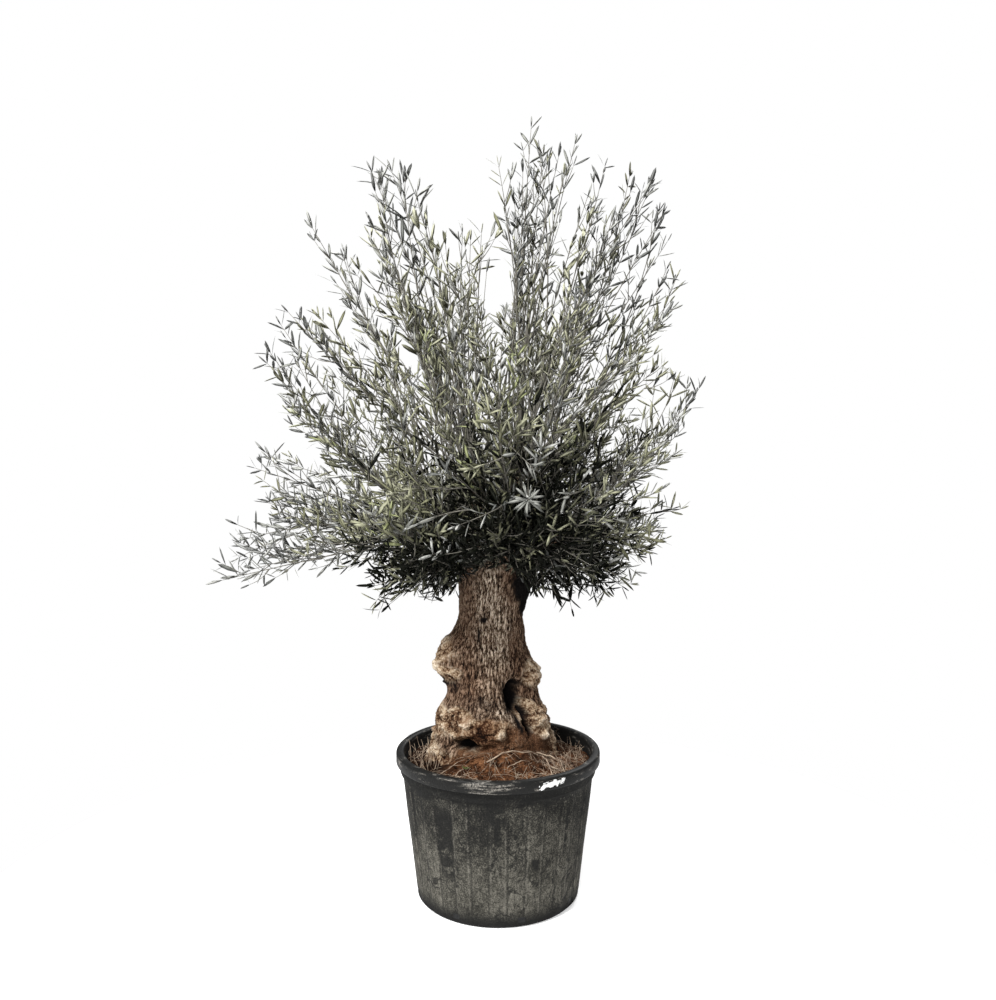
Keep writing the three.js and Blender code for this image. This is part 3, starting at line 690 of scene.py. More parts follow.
def make_tub_finish():
    finish = Finish("stained_black_tub")
    x, y, height = finish.axes()
    turn = y.maths("ARCTAN2", y, x)
    dust = finish.noise(9, 8, 0.62, (1, 1, 0.8))
    grit = finish.noise(250, 4, 0.75)
    ragged = finish.noise(75, 7, 0.78, (1, 1, 0.6))
    runs = finish.noise(55, 6, 0.6, (1, 1, 0.10), 0.4)
    stain = (runs * 0.5 + dust * 0.5).above(0.57, 0.63) * 0.5
    for middle, at, half_turn, half_height in STAINS:
        aside = (turn - math.radians(middle)).maths("ABSOLUTE") * (1 / math.radians(half_turn))
        over = (height - at).maths("ABSOLUTE") * (1 / half_height)
        patch = 2.3 - aside.maths("MAXIMUM", aside, over) * 2 + (ragged - 0.5) * 3.0 + (runs - 0.5) * 3.0
        stain = stain.maths("MAXIMUM", stain, patch.above(0.0, 1.0))
    stain = stain * (1 - finish.noise(26, 6, 0.7, (1, 1, 1.4)).above(0.49, 0.60) * 0.8)
    marked = finish.noise(6, 3, 0.5).above(0.50, 0.56)
    cracks = 1 - ((finish.noise(15, 4, 0.55, (1, 1, 0.7), 1.6) - 0.5).maths("ABSOLUTE") * 28).above(0.2, 1.0)
    stain = stain.maths("MAXIMUM", stain, cracks * marked * 0.9)
    # Less of the dust coat on the collar under the lip, which leaves it darker: partly the collar's own dirt
    # and partly painted shade under the lip
    on_wall = height.above(0.012, 0.075) * (1 - height.above(0.395, 0.412) * 0.5)
    on_wall = on_wall * (1 - height.above(0.430, 0.438))
    low = 1 - height.above(0.06, 0.36) - height.above(0.385, 0.43) * 0.6
    mottle = dust * 0.40 + ragged * 0.45 + grit * 0.75 - 0.30 + low * 0.05
    count = turn * (RIBS / (2 * math.pi))
    edge = count.maths("PINGPONG", count, 0.5)
    # Along each rib: a pale edge line, partly dust and partly painted highlight, and beside it a band of
    # painted shade at the rib's foot
    rib_edge_dust_and_highlight = edge.above(0.165, 0.185) * (1 - edge.above(0.200, 0.220)) * on_wall
    foot = edge.above(0.225, 0.245) * (1 - edge.above(0.270, 0.300)) * on_wall
    coat = (mottle + low * 0.13 - 0.37).above(0.0, 0.28) * on_wall * (1 - stain * 0.92)
    plastic = finish.ramp(grit, (0.25, (0.004, 0.004, 0.004)), (0.8, (0.016, 0.016, 0.015)))
    dirt = finish.ramp(
        mottle, (0.36, (0.013, 0.012, 0.010)), (0.53, (0.042, 0.040, 0.033)), (0.72, (0.165, 0.155, 0.130))
    )
    front = 1 - ((turn + math.radians(95)).maths("ABSOLUTE") * 3.0).above(0.3, 1.0)
    streaks = (finish.noise(14, 7, 0.74, (1, 1, 7.0)) + front * 0.10).above(0.54, 0.65)
    scuffs = streaks * grit.above(0.40, 0.56) * height.above(0.438, 0.446)
    colour = finish.mix(coat, plastic, dirt)
    # Painted shade at the ribs' feet, then the pale rib edges of dust and painted highlight
    colour = finish.mix(foot * ragged.above(0.40, 0.56) * 0.6, colour, (0.007, 0.007, 0.007))
    colour = finish.mix(rib_edge_dust_and_highlight * coat * ragged.above(0.36, 0.56) * 0.5, colour, (0.13, 0.122, 0.105))
    colour = finish.mix(scuffs * 0.85, colour, (0.25, 0.232, 0.205))
    finish.set(
        base_color=colour,
        roughness=0.90 - height.above(0.436, 0.444) * 0.38,
        specular_ior_level=0.12,
        normal=finish.bump(grit * 0.4 + dust * 0.6 + ragged * 0.4 - cracks * marked * 0.5, 0.0018, 0.6),
    )
    return finish


def make_earth_finish():
    finish = Finish("red_earth")
    clods = finish.noise(30, 8, 0.68)
    grit = finish.noise(240, 5, 0.75)
    damp = finish.noise(8, 3, 0.5)
    shade = clods * 0.6 + grit * 0.4
    dry = finish.ramp(
        shade, (0.40, (0.004, 0.002, 0.001)), (0.51, (0.050, 0.021, 0.010)), (0.64, (0.215, 0.100, 0.046))
    )
    colour = finish.mix(damp.above(0.45, 0.65) * 0.6, dry, (0.028, 0.015, 0.009))
    # Painted shade: the earth by the left wall of the pot is darkened
    x, _, _ = finish.axes()
    colour = finish.mix((0 - x).above(0.13, 0.20) * 0.85, colour, (0.12, 0.12, 0.12), "MULTIPLY")
    rough = finish.bump(shade, 0.004, 0.9)
    finish.set(base_color=colour, roughness=0.95, specular_ior_level=0.05, normal=rough)
    return finish


def make_bark_finish():
    finish = Finish("olive_bark")
    relief = finish.attribute("relief")
    burl = finish.attribute("burl")
    hollow = finish.attribute("hollow")
    x, y, height = finish.axes()
    fibre = finish.noise(400, 7, 0.78, (1, 1, 0.15), 0.3)
    strands = finish.noise(190, 5, 0.65, (1, 1, 0.08), 0.5)
    speck = finish.noise(460, 5, 0.8)
    grain = finish.cells(150)
    tone = finish.noise(15, 5, 0.6, (1, 1, 0.45))
    # The old bark's colour follows the relief, darker in its cracks: partly its own colour and partly
    # painted shade
    grain_and_crack_shade = relief * 0.13 + fibre * 0.40 + strands * 0.27 + speck * 0.20
    old = finish.ramp(
        grain_and_crack_shade,
        (0.440, (0.003, 0.0018, 0.0011)),
        (0.476, (0.044, 0.026, 0.016)),
        (0.522, (0.215, 0.153, 0.106)),
        (0.580, (0.74, 0.62, 0.49)),
    )
    # Painted light: a pale band down the front of the trunk, with painted shade multiplied onto the flanks
    # on either side
    lit = 1 - ((x + 0.012 + (height - 0.85) * 0.06).maths("ABSOLUTE") + tone * 0.08).above(0.060, 0.115)
    old = finish.mix((1 - lit) * 0.75, old, (0.36, 0.25, 0.19), "MULTIPLY")
    old = finish.mix(tone.above(0.52, 0.62) * 0.45, old, (0.40, 0.29, 0.22), "MULTIPLY")
    # Painted shade: a darker band round the trunk's waist, for the shadow that falls under the burrs on its
    # left
    shaded_waist = 1 - ((height - 0.715).maths("ABSOLUTE") * 9).above(0.2, 1.0)
    old = finish.mix(shaded_waist * 0.5, old, (0.50, 0.37, 0.29), "MULTIPLY")
    # On the burls the colour follows the knobs, pale on their tops and dark between them: partly the bark's
    # own colour and partly painted highlight and shade
    knobs = relief * 0.60 + speck * 0.46 - grain * 0.28 + 0.17
    young = finish.ramp(
        knobs,
        (0.29, (0.008, 0.0033, 0.0016)),
        (0.42, (0.100, 0.050, 0.026)),
        (0.55, (0.400, 0.290, 0.188)),
        (0.76, (0.76, 0.65, 0.51)),
    )
    young = finish.mix(tone.above(0.48, 0.62) * 0.75, young, (0.36, 0.23, 0.15), "MULTIPLY")
    colour = finish.mix(burl, old, young)
    heap = (0.605 - height + (tone - 0.5) * 0.12 - (x - 0.065).maths("ABSOLUTE") * 0.55).above(0.0, 0.030)
    soiled = finish.ramp(
        speck, (0.40, (0.010, 0.005, 0.0025)), (0.50, (0.080, 0.036, 0.018)), (0.62, (0.250, 0.125, 0.062))
    )
    colour = finish.mix(heap * (0 - y).above(0.02, 0.07) * 0.9, colour, soiled)
    # Painted shade: near black in the carved hollows and in the patches of crease shade
    colour = finish.mix(hollow, colour, (0.004, 0.003, 0.003))
    finish.set(
        base_color=colour,
        roughness=0.93,
        specular_ior_level=0.08,
        normal=finish.bump(fibre * 0.5 + speck * 0.4 + strands * 0.3 - grain * burl * 0.8, 0.007, 1.0),
    )
    return finish


def make_twig_finish():
    finish = Finish("grey_twig")
    band = finish.noise(60, 4, 0.6)
    colour = finish.ramp(band, (0.3, (0.068, 0.062, 0.050)), (0.7, (0.175, 0.165, 0.138)))
    finish.set(base_color=colour, roughness=0.85)
    return finish


def make_straw_finish():
    finish = Finish("dry_straw")
    band = finish.noise(48, 4, 0.6)
    colour = finish.ramp(band, (0.34, (0.085, 0.045, 0.026)), (0.66, (0.44, 0.345, 0.25)))
    finish.set(base_color=colour, roughness=0.85)
    return finish


def make_leaf_finishes(name, upper, under):
    # Leaves of painted shade get little gloss, so that they stay dark
    gloss = 0.3 if name != "deep" else 0.06
    return [
        Finish(f"leaf_{name}_upper", base_color=upper, roughness=0.55, specular_ior_level=gloss),
        Finish(f"leaf_{name}_under", base_color=under, roughness=0.7, specular_ior_level=gloss / 2),
    ]


# Pot

def ring_edges(bm, radius, height):
    def on_ring(vert):
        return abs(math.hypot(vert.co.x, vert.co.y) - radius) < 1e-4 and abs(vert.co.z - height) < 1e-4

    return [edge for edge in bm.edges if on_ring(edge.verts[0]) and on_ring(edge.verts[1])]


def wall_radius(height):
    return BASE_RADIUS + (WALL_TOP_RADIUS - BASE_RADIUS) * height / COLLAR_FOOT


def make_pot():
    inside = WALL_TOP_RADIUS - WALL_THICKNESS
    profile = [
        (0, 0),
        (BASE_RADIUS - BASE_CHAMFER, 0),
        (BASE_RADIUS, BASE_CHAMFER),
        *((wall_radius(height), height) for height in WALL_RINGS),
        (wall_radius(COLLAR_FOOT), COLLAR_FOOT),
        (COLLAR_RADIUS, COLLAR_FOOT + RIB_DEPTH),
        (COLLAR_RADIUS, LIP_FOOT),
        (LIP_RADIUS, LIP_FOOT),
        (LIP_RADIUS, POT_HEIGHT),
        (inside, POT_HEIGHT),
        (inside, COLLAR_FOOT),
        (BASE_RADIUS - WALL_THICKNESS, FLOOR_THICKNESS),
        (0, FLOOR_THICKNESS),
    ]
    bm = turned(profile, POT_SEGMENTS)
    notches = []
    for face in bm.faces:
        middle = face.calc_center_median()
        turn = math.degrees(math.atan2(middle.y, middle.x)) % NOTCH_PITCH
        outside = math.hypot(middle.x, middle.y) > BASE_RADIUS - WALL_THICKNESS / 3
        if NOTCH_LOW < middle.z < NOTCH_HIGH and outside and abs(turn - NOTCH_TURN) < NOTCH_HALF_TURN:
            notches.append(face)
    bmesh.ops.inset_region(bm, faces=notches, thickness=NOTCH_BORDER, depth=-NOTCH_DEPTH)
    for face in notches:
        face.material_index = 1
    soft = {"profile": 0.5, "affect": "EDGES", "material": -1, "clamp_overlap": True}
    top = ring_edges(bm, LIP_RADIUS, POT_HEIGHT) + ring_edges(bm, inside, POT_HEIGHT)
    bmesh.ops.bevel(bm, geom=top, offset=LIP_ROUNDING, segments=5, **soft)
    small = ring_edges(bm, LIP_RADIUS, LIP_FOOT) + ring_edges(bm, COLLAR_RADIUS, COLLAR_FOOT + RIB_DEPTH)
    bmesh.ops.bevel(bm, geom=small, offset=COLLAR_ROUNDING, segments=2, **soft)
    pitch = 2 * math.pi / RIBS
    for vert in bm.verts:
        radius = math.hypot(vert.co.x, vert.co.y)
        outside = radius > wall_radius(vert.co.z) - WALL_THICKNESS / 3
        if BASE_CHAMFER <= vert.co.z <= COLLAR_FOOT and outside:
            turn = abs((math.atan2(vert.co.y, vert.co.x) + pitch / 2) % pitch - pitch / 2)
            ribbed = radius - RIB_DEPTH * smooth_step(turn, RIB_FLAT, RIB_FOOT)
            ribbed += WALL_DENTS * noise.noise(vert.co * 9.0)
            vert.co.x *= ribbed / radius
            vert.co.y *= ribbed / radius
        elif vert.co.z > COLLAR_FOOT:
            vert.co.z += LIP_WAVES * noise.noise(vert.co * 7.0)
    bmesh.ops.recalc_face_normals(bm, faces=bm.faces)
    hole = Finish("drain_hole", base_color=(0.004, 0.004, 0.004), roughness=0.9)
    return piece_of(bm, "tub", [make_tub_finish(), hole], ["pot"])


def make_scrap():
    """A torn scrap of plain white paper on the front of the lip."""
    bm = bmesh.new()
    bmesh.ops.create_grid(bm, x_segments=34, y_segments=12, size=0.5)
    gone = []
    for face in bm.faces:
        middle = face.calc_center_median()
        torn = noise.noise(Vector((middle.x * 7.0, middle.y * 3.0, 4.2)))
        torn += 0.5 * noise.noise(Vector((middle.x * 6.0, middle.y * 14.0, 1.7)))
        edge = 0.62 - abs(middle.y + 0.18 * middle.x) * 1.25 - abs(middle.x) * 0.62
        if torn * 0.7 + edge < 0.10:
            gone.append(face)
    bmesh.ops.delete(bm, geom=gone, context="FACES")
    for vert in bm.verts:
        turn = math.radians(SCRAP_TURN + SCRAP_SPAN * vert.co.x)
        radius = LIP_RADIUS + SCRAP_CLEARANCE
        height = SCRAP_MIDDLE + SCRAP_HEIGHT * vert.co.y + SCRAP_SLANT * vert.co.x
        vert.co = (radius * math.cos(turn), radius * math.sin(turn), height)
    bm.normal_update()
    bmesh.ops.solidify(bm, geom=bm.faces[:], thickness=SCRAP_THICKNESS)
    bmesh.ops.recalc_face_normals(bm, faces=bm.faces)
    paper = Finish("white_paper")
    white = paper.ramp(paper.noise(180, 4, 0.6), (0.3, (0.62, 0.62, 0.61)), (0.7, (0.86, 0.86, 0.85)))
    paper.set(base_color=white, roughness=0.8)
    return piece_of(bm, "paper_scrap", [paper])


# Earth

def soil_height(x, y):
    away = (Vector((x, y)) - HEAP_CENTRE).length / HEAP_SPREAD
    return SOIL_EDGE + HEAP_HEIGHT * math.exp(-away * away)


def earth_surface(x, y):
    spot = Vector((x, y, 0))
    clods = 0.006 * noise.noise(spot * 26.0) + 0.0035 * noise.noise(spot * 70.0)
    return soil_height(x, y) + (clods + 0.002 * noise.noise(spot * 160.0))


def make_earth(finish):
    top = [(SOIL_RADIUS * (1 - ring / EARTH_RINGS), SOIL_EDGE) for ring in range(EARTH_RINGS + 1)]
    bm = turned([(0, EARTH_FOOT), (SOIL_RADIUS - 0.004, EARTH_FOOT), *top], EARTH_SEGMENTS)
    for vert in bm.verts:
        if vert.co.z > SOIL_EDGE - 1e-4:
            vert.co.z = earth_surface(vert.co.x, vert.co.y)
    return piece_of(bm, "earth", [finish], ["soil"])


def make_crumbs(finish):
    """Clods and small stones, each a rough ball of few faces."""
    bm = bmesh.new()
    bmesh.ops.create_icosphere(bm, subdivisions=1, radius=1.0)
    ball = np.array([vert.co[:] for vert in bm.verts])
    faces = np.array([[vert.index for vert in face.verts] for face in bm.faces])
    bm.free()
    parts = []
    for _ in range(CRUMBS):
        turn = dice.uniform(0, 2 * math.pi)
        radius = SOIL_RADIUS * math.sqrt(dice.uniform(0.05, 0.97))
        x, y = radius * math.cos(turn), radius * math.sin(turn)
        size = 0.0016 + 0.0055 * dice.random() ** 3
        shape = size * np.array([dice.uniform(0.7, 1.3), dice.uniform(0.7, 1.3), dice.uniform(0.5, 0.9)])
        bumps = 1 + 0.25 * rng.standard_normal((len(ball), 1))
        centre = np.array([x, y, earth_surface(x, y) + 0.2 * size])
        parts.append((centre + ball * bumps * shape, faces))
    return show(joined_mesh("crumbs", *merged(parts)), "crumbs", [finish], smooth=False)


def lying(marks, steps, lift, arch):
    """A line over the earth through marks on it."""
    marks = np.array(marks)
    share = np.linspace(0, len(marks) - 1, steps)
    xs = np.interp(share, range(len(marks)), marks[:, 0])
    ys = np.interp(share, range(len(marks)), marks[:, 1])
    far = np.maximum(np.hypot(xs, ys) / (SOIL_RADIUS - 0.006), 1)
    xs, ys = xs / far, ys / far
    rise = lift + arch * np.sin(np.linspace(0, math.pi, steps))
    return [(x, y, earth_surface(x, y) + up) for x, y, up in zip(xs, ys, rise)]


def scattered(clump):
    """A chance place in a clump."""
    return [middle + spread * dice.gauss(0, 1) for middle, spread in clump]


def make_grass(straw):
    """Dry grass and roots that lie on the earth, mostly to the right, and fewer at the left wall."""
    for name, count, thickness in GRASS:
        lines, radii = [], []
        for index in range(count):
            x, y = scattered(RIGHT_CLUMP)
            if index % 2:
                turn = dice.uniform(0, 2 * math.pi)
                x, y = GRASS_RING * math.cos(turn), GRASS_RING * math.sin(turn)
            if index % 6 == 0:
                x, y = scattered(FRONT_CLUMP)
            heading = dice.uniform(0, 2 * math.pi)
            reach = dice.uniform(0.010, 0.050)
            ahead = np.array([math.cos(heading), math.sin(heading)]) * reach
            side = np.array([-ahead[1], ahead[0]]) * dice.uniform(-0.2, 0.2)
            middle = np.array([x, y])
            marks = [middle - ahead, middle + side, middle + ahead]
            line = lying(marks, GRASS_STEPS, 0.001, dice.uniform(0.001, 0.012))
            taper = np.linspace(1.0, 0.5, GRASS_STEPS) * dice.uniform(0.6, 1.2) * thickness
            if x >= BARE_LEFT or index % 4 != 1:
                lines.append(line)
                radii.append(taper)
        show(joined_mesh(name, *tubes(np.array(lines), np.array(radii), 4)), name, [straw])


def make_pale_twigs(straw):
    rods = np.array([lying(marks, PALE_TWIG_STEPS, 0.004, 0.010) for marks in PALE_TWIGS])
    taper = np.linspace(0.0024, 0.0012, PALE_TWIG_STEPS)
    girths = np.array([taper * (1.0 if index < STOUT_TWIGS else 0.6) for index in range(len(PALE_TWIGS))])
    show(joined_mesh("pale_twigs", *tubes(rods, girths, 6)), "pale_twigs", [straw])


def make_stalks(straw):
    """Clumps of standing stalks along the wall, kept inside it."""
    whips, thin = [], []
    for angle, height, count in STALKS:
        for _ in range(count):
            turn = math.radians(angle + dice.gauss(0, 14))
            radius = dice.uniform(0.225, 0.285)
            x, y = radius * math.cos(turn), radius * math.sin(turn)
            foot = np.array([x, y, earth_surface(x, y) - 0.003])
            lean = np.array([dice.gauss(0, 0.4), dice.gauss(0, 0.4), 1.0])
            top = foot + height * dice.uniform(0.4, 1.1) * lean / np.linalg.norm(lean)
            bend = (foot + top) / 2 + 0.012 * rng.standard_normal(3)
            line = bezier(foot, bend, top, 5)
            out = np.hypot(line[:, 0], line[:, 1])
            line[:, :2] *= np.minimum(1, STALK_REACH / out)[:, None]
            whips.append(line)
            thin.append(np.linspace(0.0011, 0.0005, len(line)))
    stalks = tubes(np.array(whips), np.array(thin), 4)
    show(joined_mesh("dry_stalks", *stalks), "dry_stalks", [straw])


# Trunk and boughs

def trunk_station(height):
    heights = TRUNK_STATIONS[:, 0]
    return [float(np.interp(height, heights, TRUNK_STATIONS[:, column])) for column in range(1, 5)]


def swelling(spot, angle, height, radius):
    """1 in the middle of a burr, a hollow or a patch of crease shade, falling to 0 round it."""
    turn = math.atan2(math.sin(angle - math.radians(spot[0])), math.cos(angle - math.radians(spot[0])))
    across = turn * radius / spot[3]
    along = (height - spot[1]) / spot[4]
    return math.exp(-across * across - along * along)


def trunk_radius(angle, height, aside, up):
    """Radius of the bare form, and how much of a burr and of a hollow with ragged edges there is."""
    _, _, half_width, half_depth = trunk_station(height)
    plain = 1 / math.hypot(math.cos(angle) / half_width, math.sin(angle) / half_depth)
    out = [swelling(spot, angle, height, plain) for spot in BURRS]
    inward = [swelling(spot, angle + aside, height + up, plain) for spot in HOLLOWS]
    radius = plain + sum(share * spot[2] for share, spot in zip(out, BURRS))
    radius -= sum(share * spot[2] for share, spot in zip(inward, HOLLOWS))
    domed = max(0.0, (height - (TRUNK_HEAD - HEAD_DOME)) / HEAD_DOME)
    return radius * math.sqrt(1 - HEAD_CLOSING * domed * domed), max(out), max(inward)


def wander(spot):
    """Three separate noises at a place."""
    return Vector([noise.noise(spot + Vector((0, 0, shift))) for shift in (0.0, 37.3, 71.9)])


def fissures(spot):
    """0 in the cracks of old bark and 1 on its plates, drawn out along the stem."""
    warp = 0.7 * noise.noise(Vector((spot.x * 25, spot.y * 25, spot.z * 12)))
    coarse = abs(noise.noise(Vector((spot.x * 125 + warp, spot.y * 125 + warp, spot.z * 34))))
    fine = abs(noise.noise(Vector((spot.x * 210, spot.y * 210, spot.z * 75 + warp))))
    return 0.55 * min(1.0, coarse * 3.0) + 0.45 * min(1.0, fine * 2.8)


def knobs(spot):
    """Crowded uneven knobs, as the large ones and the grains on them, 0 between them and 1 on top."""
    warp = wander(spot * 34.0)
    large = noise.voronoi(spot * 19 + warp * 0.55)[0][0]
    small = noise.voronoi(spot * 66 + warp * 0.8)[0][0]
    rough = 0.5 + 0.5 * noise.noise(spot * 120.0)
    uneven = 0.55 + 0.9 * noise.noise(spot * 24.0)
    return max(0.0, 1 - large * large * 1.7) * uneven, 0.6 * max(0.0, 1 - small * small * 1.8) + 0.4 * rough


def bark_layers(bm):
    return {name: bm.verts.layers.float.new(name) for name in ("relief", "burl", "hollow")}


def make_trunk(finish):
    tall = TRUNK_HEAD - TRUNK_FOOT
    column = [(1.0, TRUNK_FOOT + tall * step / TRUNK_STEPS) for step in range(TRUNK_STEPS + 1)]
    bm = turned([(0.0, TRUNK_FOOT), *column, (0.0, TRUNK_HEAD)], TRUNK_SEGMENTS)
    layers = bark_layers(bm)
    for vert in bm.verts:
        height = vert.co.z
        reach = math.hypot(vert.co.x, vert.co.y)
        angle = math.atan2(vert.co.y, vert.co.x)
        x, y, _, _ = trunk_station(height)
        spot = Vector((0.15 * math.cos(angle), 0.15 * math.sin(angle), height))
        ragged = wander(spot * 24.0) + 0.5 * wander(spot * 60.0)
        radius, burr, hollow = trunk_radius(angle, height, 0.07 * ragged.x, 0.013 * ragged.y)
        patch = 0.30 * noise.noise(spot * 12.0) + 0.15 * noise.noise(spot * 30.0)
        low = smooth_step(0.66 - height, 0.0, 0.10)
        burl = smooth_step(1.10 * burr + 0.36 * low + patch, 0.32, 0.62)
        plates = fissures(spot)
        clusters, grains = knobs(spot)
        relief = (1 - burl) * plates + burl * (clusters * 0.68 + grains * 0.45)
        depth = PLATE_DEPTH * (1 - burl) * (plates - 0.6)
        depth += burl * (KNOB_DEPTH * clusters + GRAIN_DEPTH * grains - BURL_SINKING)
        depth += 0.006 * noise.noise(spot * 11.0) + 0.003 * noise.noise(spot * 27.0)
        depth -= HOLLOW_DEPTH * smooth_step(hollow, 0.35, 0.8)
        grown = reach * (radius + depth * smooth_step(TRUNK_HEAD - height, 0.0, 0.03))
        vert.co.x = x + grown * math.cos(angle)
        vert.co.y = y + grown * math.sin(angle)
        vert[layers["relief"]] = relief
        vert[layers["burl"]] = burl
        # The hollow layer carries painted shade: the carved hollows and the patches of crease shade, with
        # ragged edges
        aside, up = angle + 0.09 * ragged.x, height + 0.02 * ragged.y
        crease_shade = max(row[2] * swelling(row, aside, up, radius) for row in CREASE_SHADES)
        vert[layers["hollow"]] = max(smooth_step(hollow, 0.30, 0.62), smooth_step(crease_shade, 0.25, 0.85))
    return piece_of(bm, "trunk_bark", [finish], ["trunk"])


def bough_line(reach, tips):
    """Foot, bend and end of a bough, which points to the middle of its masses."""
    heading = unit(sum(unit(np.array(whips[0]) - CROWN_CENTRE) for whips in tips.values()))
    tip = CROWN_CENTRE + heading * reach
    root = BOUGH_ROOT + heading * [BOUGH_RING, BOUGH_RING, 0]
    middle = (root + tip) / 2 + np.array([0, 0, reach * BOUGH_RISE])
    return root, middle, tip


def make_boughs(finish):
    bm = bmesh.new()
    layers = bark_layers(bm)
    for reach, masses in BOUGHS.values():
        line = [Vector(point) for point in bezier(*bough_line(reach, masses), BOUGH_STEPS)]
        before = len(bm.verts)
        rod = {"cap_ends": True, "segments": BOUGH_SEGMENTS, "radius1": 1, "radius2": 1, "depth": 1}
        made = bmesh.ops.create_cone(bm, **rod)
        long = {edge for vert in made["verts"] for edge in vert.link_edges}
        long = [edge for edge in long if abs(edge.verts[0].co.z - edge.verts[1].co.z) > 0.5]
        bmesh.ops.subdivide_edges(bm, edges=long, cuts=BOUGH_STEPS - 1)
        bm.verts.ensure_lookup_table()
        for vert in bm.verts[before:]:
            share = vert.co.z + 0.5
            step = min(int(round(share * BOUGH_STEPS)), BOUGH_STEPS)
            along = (line[min(step + 1, BOUGH_STEPS)] - line[max(step - 1, 0)]).normalized()
            side = along.cross(Vector((0, 1, 0))).normalized()
            other = along.cross(side)
            girth = BOUGH_BASE_RADIUS + (BOUGH_TIP_RADIUS - BOUGH_BASE_RADIUS) * share
            direction = side * vert.co.x + other * vert.co.y
            spot = line[step] + direction * girth
            plates = fissures(spot)
            bumps = noise.noise(spot * 20.0)
            vert.co = line[step] + direction * (girth + 0.005 * (plates - 0.6) + 0.004 * bumps)
            vert[layers["relief"]] = plates * 0.9
    bmesh.ops.recalc_face_normals(bm, faces=bm.faces)
    return piece_of(bm, "bough_bark", [finish], boughs_in_cad)


# Crown

class Mass:
    """One mass of foliage: its bough's end, its whip tips and the space that it may fill."""

    def __init__(self, name, tips, bough):
        self.leaf_scale = LONG_LEAVED.get(name, 1.0)
        self.fullness = FULLNESS.get(name, 1.0)
        self.tips = np.array(tips)
        self.root, self.bend, self.fork = bough
        self.reach = np.linalg.norm(self.tips[0] - CROWN_CENTRE)
        self.heading = (self.tips[0] - CROWN_CENTRE) / self.reach
        self.habit = next(habit for height, habit in HABITS if self.tips[0, 2] >= height)

    def know(self, masses):
        """Walls half way to each of the other masses."""
        self.walls = np.array([unit(self.heading - other.heading) for other in masses if other is not self])

    def limit(self, heading):
        """How far the mass reaches in a direction."""
        angle = np.arccos(np.clip(heading @ self.heading, -1, 1))
        return self.reach * (1 - SPACE_ROUNDING * angle**2)

    def fits(self, tip):
        return (self.holds(tip[None], TIP_MARGIN) & open_to_sky(tip[None]) & in_reach(tip[None]))[0]

    def holds(self, points, margin):
        """True where a point is in the mass's own cone, with some margin, and within its reach."""
        away = points - CROWN_CENTRE
        far = np.linalg.norm(away, axis=-1)
        inside = far <= self.limit(away / np.maximum(far, 1e-6)[..., None])
        return inside & (away @ self.walls.T > margin).all(-1) & above_skirt(points)


def above_skirt(points):
    """Clear of the trunk, and over the crown's edge, which lifts before the trunk and out to the left."""
    x, y, z = points[..., 0], points[..., 1], points[..., 2]
    before = np.exp(-((x + 0.01) / np.where(x < 0, 0.16, 0.13)) ** 2) * (y < 0.06)
    left = np.clip((-x - 0.40) / 0.35, 0, 1)
    beside = np.exp(-(((x + 0.27) / 0.08) ** 2))
    lowest = SKIRT + before * (FRONT_LIFT - FRONT_SLOPE * y) + LEFT_LIFT * left + GAP_LIFT * beside
    clear = (np.hypot(x + 0.01, y) > TRUNK_ROOM) | (z > TRUNK_ROOM_TOP)
    return (z > lowest) & clear


def in_reach(points):
    """Inside the box of the solids, with a leaf's width to spare, and narrower above the lowest arms."""
    low, high = np.array(cad_low) - LEAF_ROOM, np.array(cad_high) + LEAF_ROOM
    box = (points > low).all(-1) & (points < high).all(-1)
    return box & ((points[..., 2] < ARM_HEIGHT) | (points[..., 0] < RIGHT_EDGE_ABOVE_ARM))


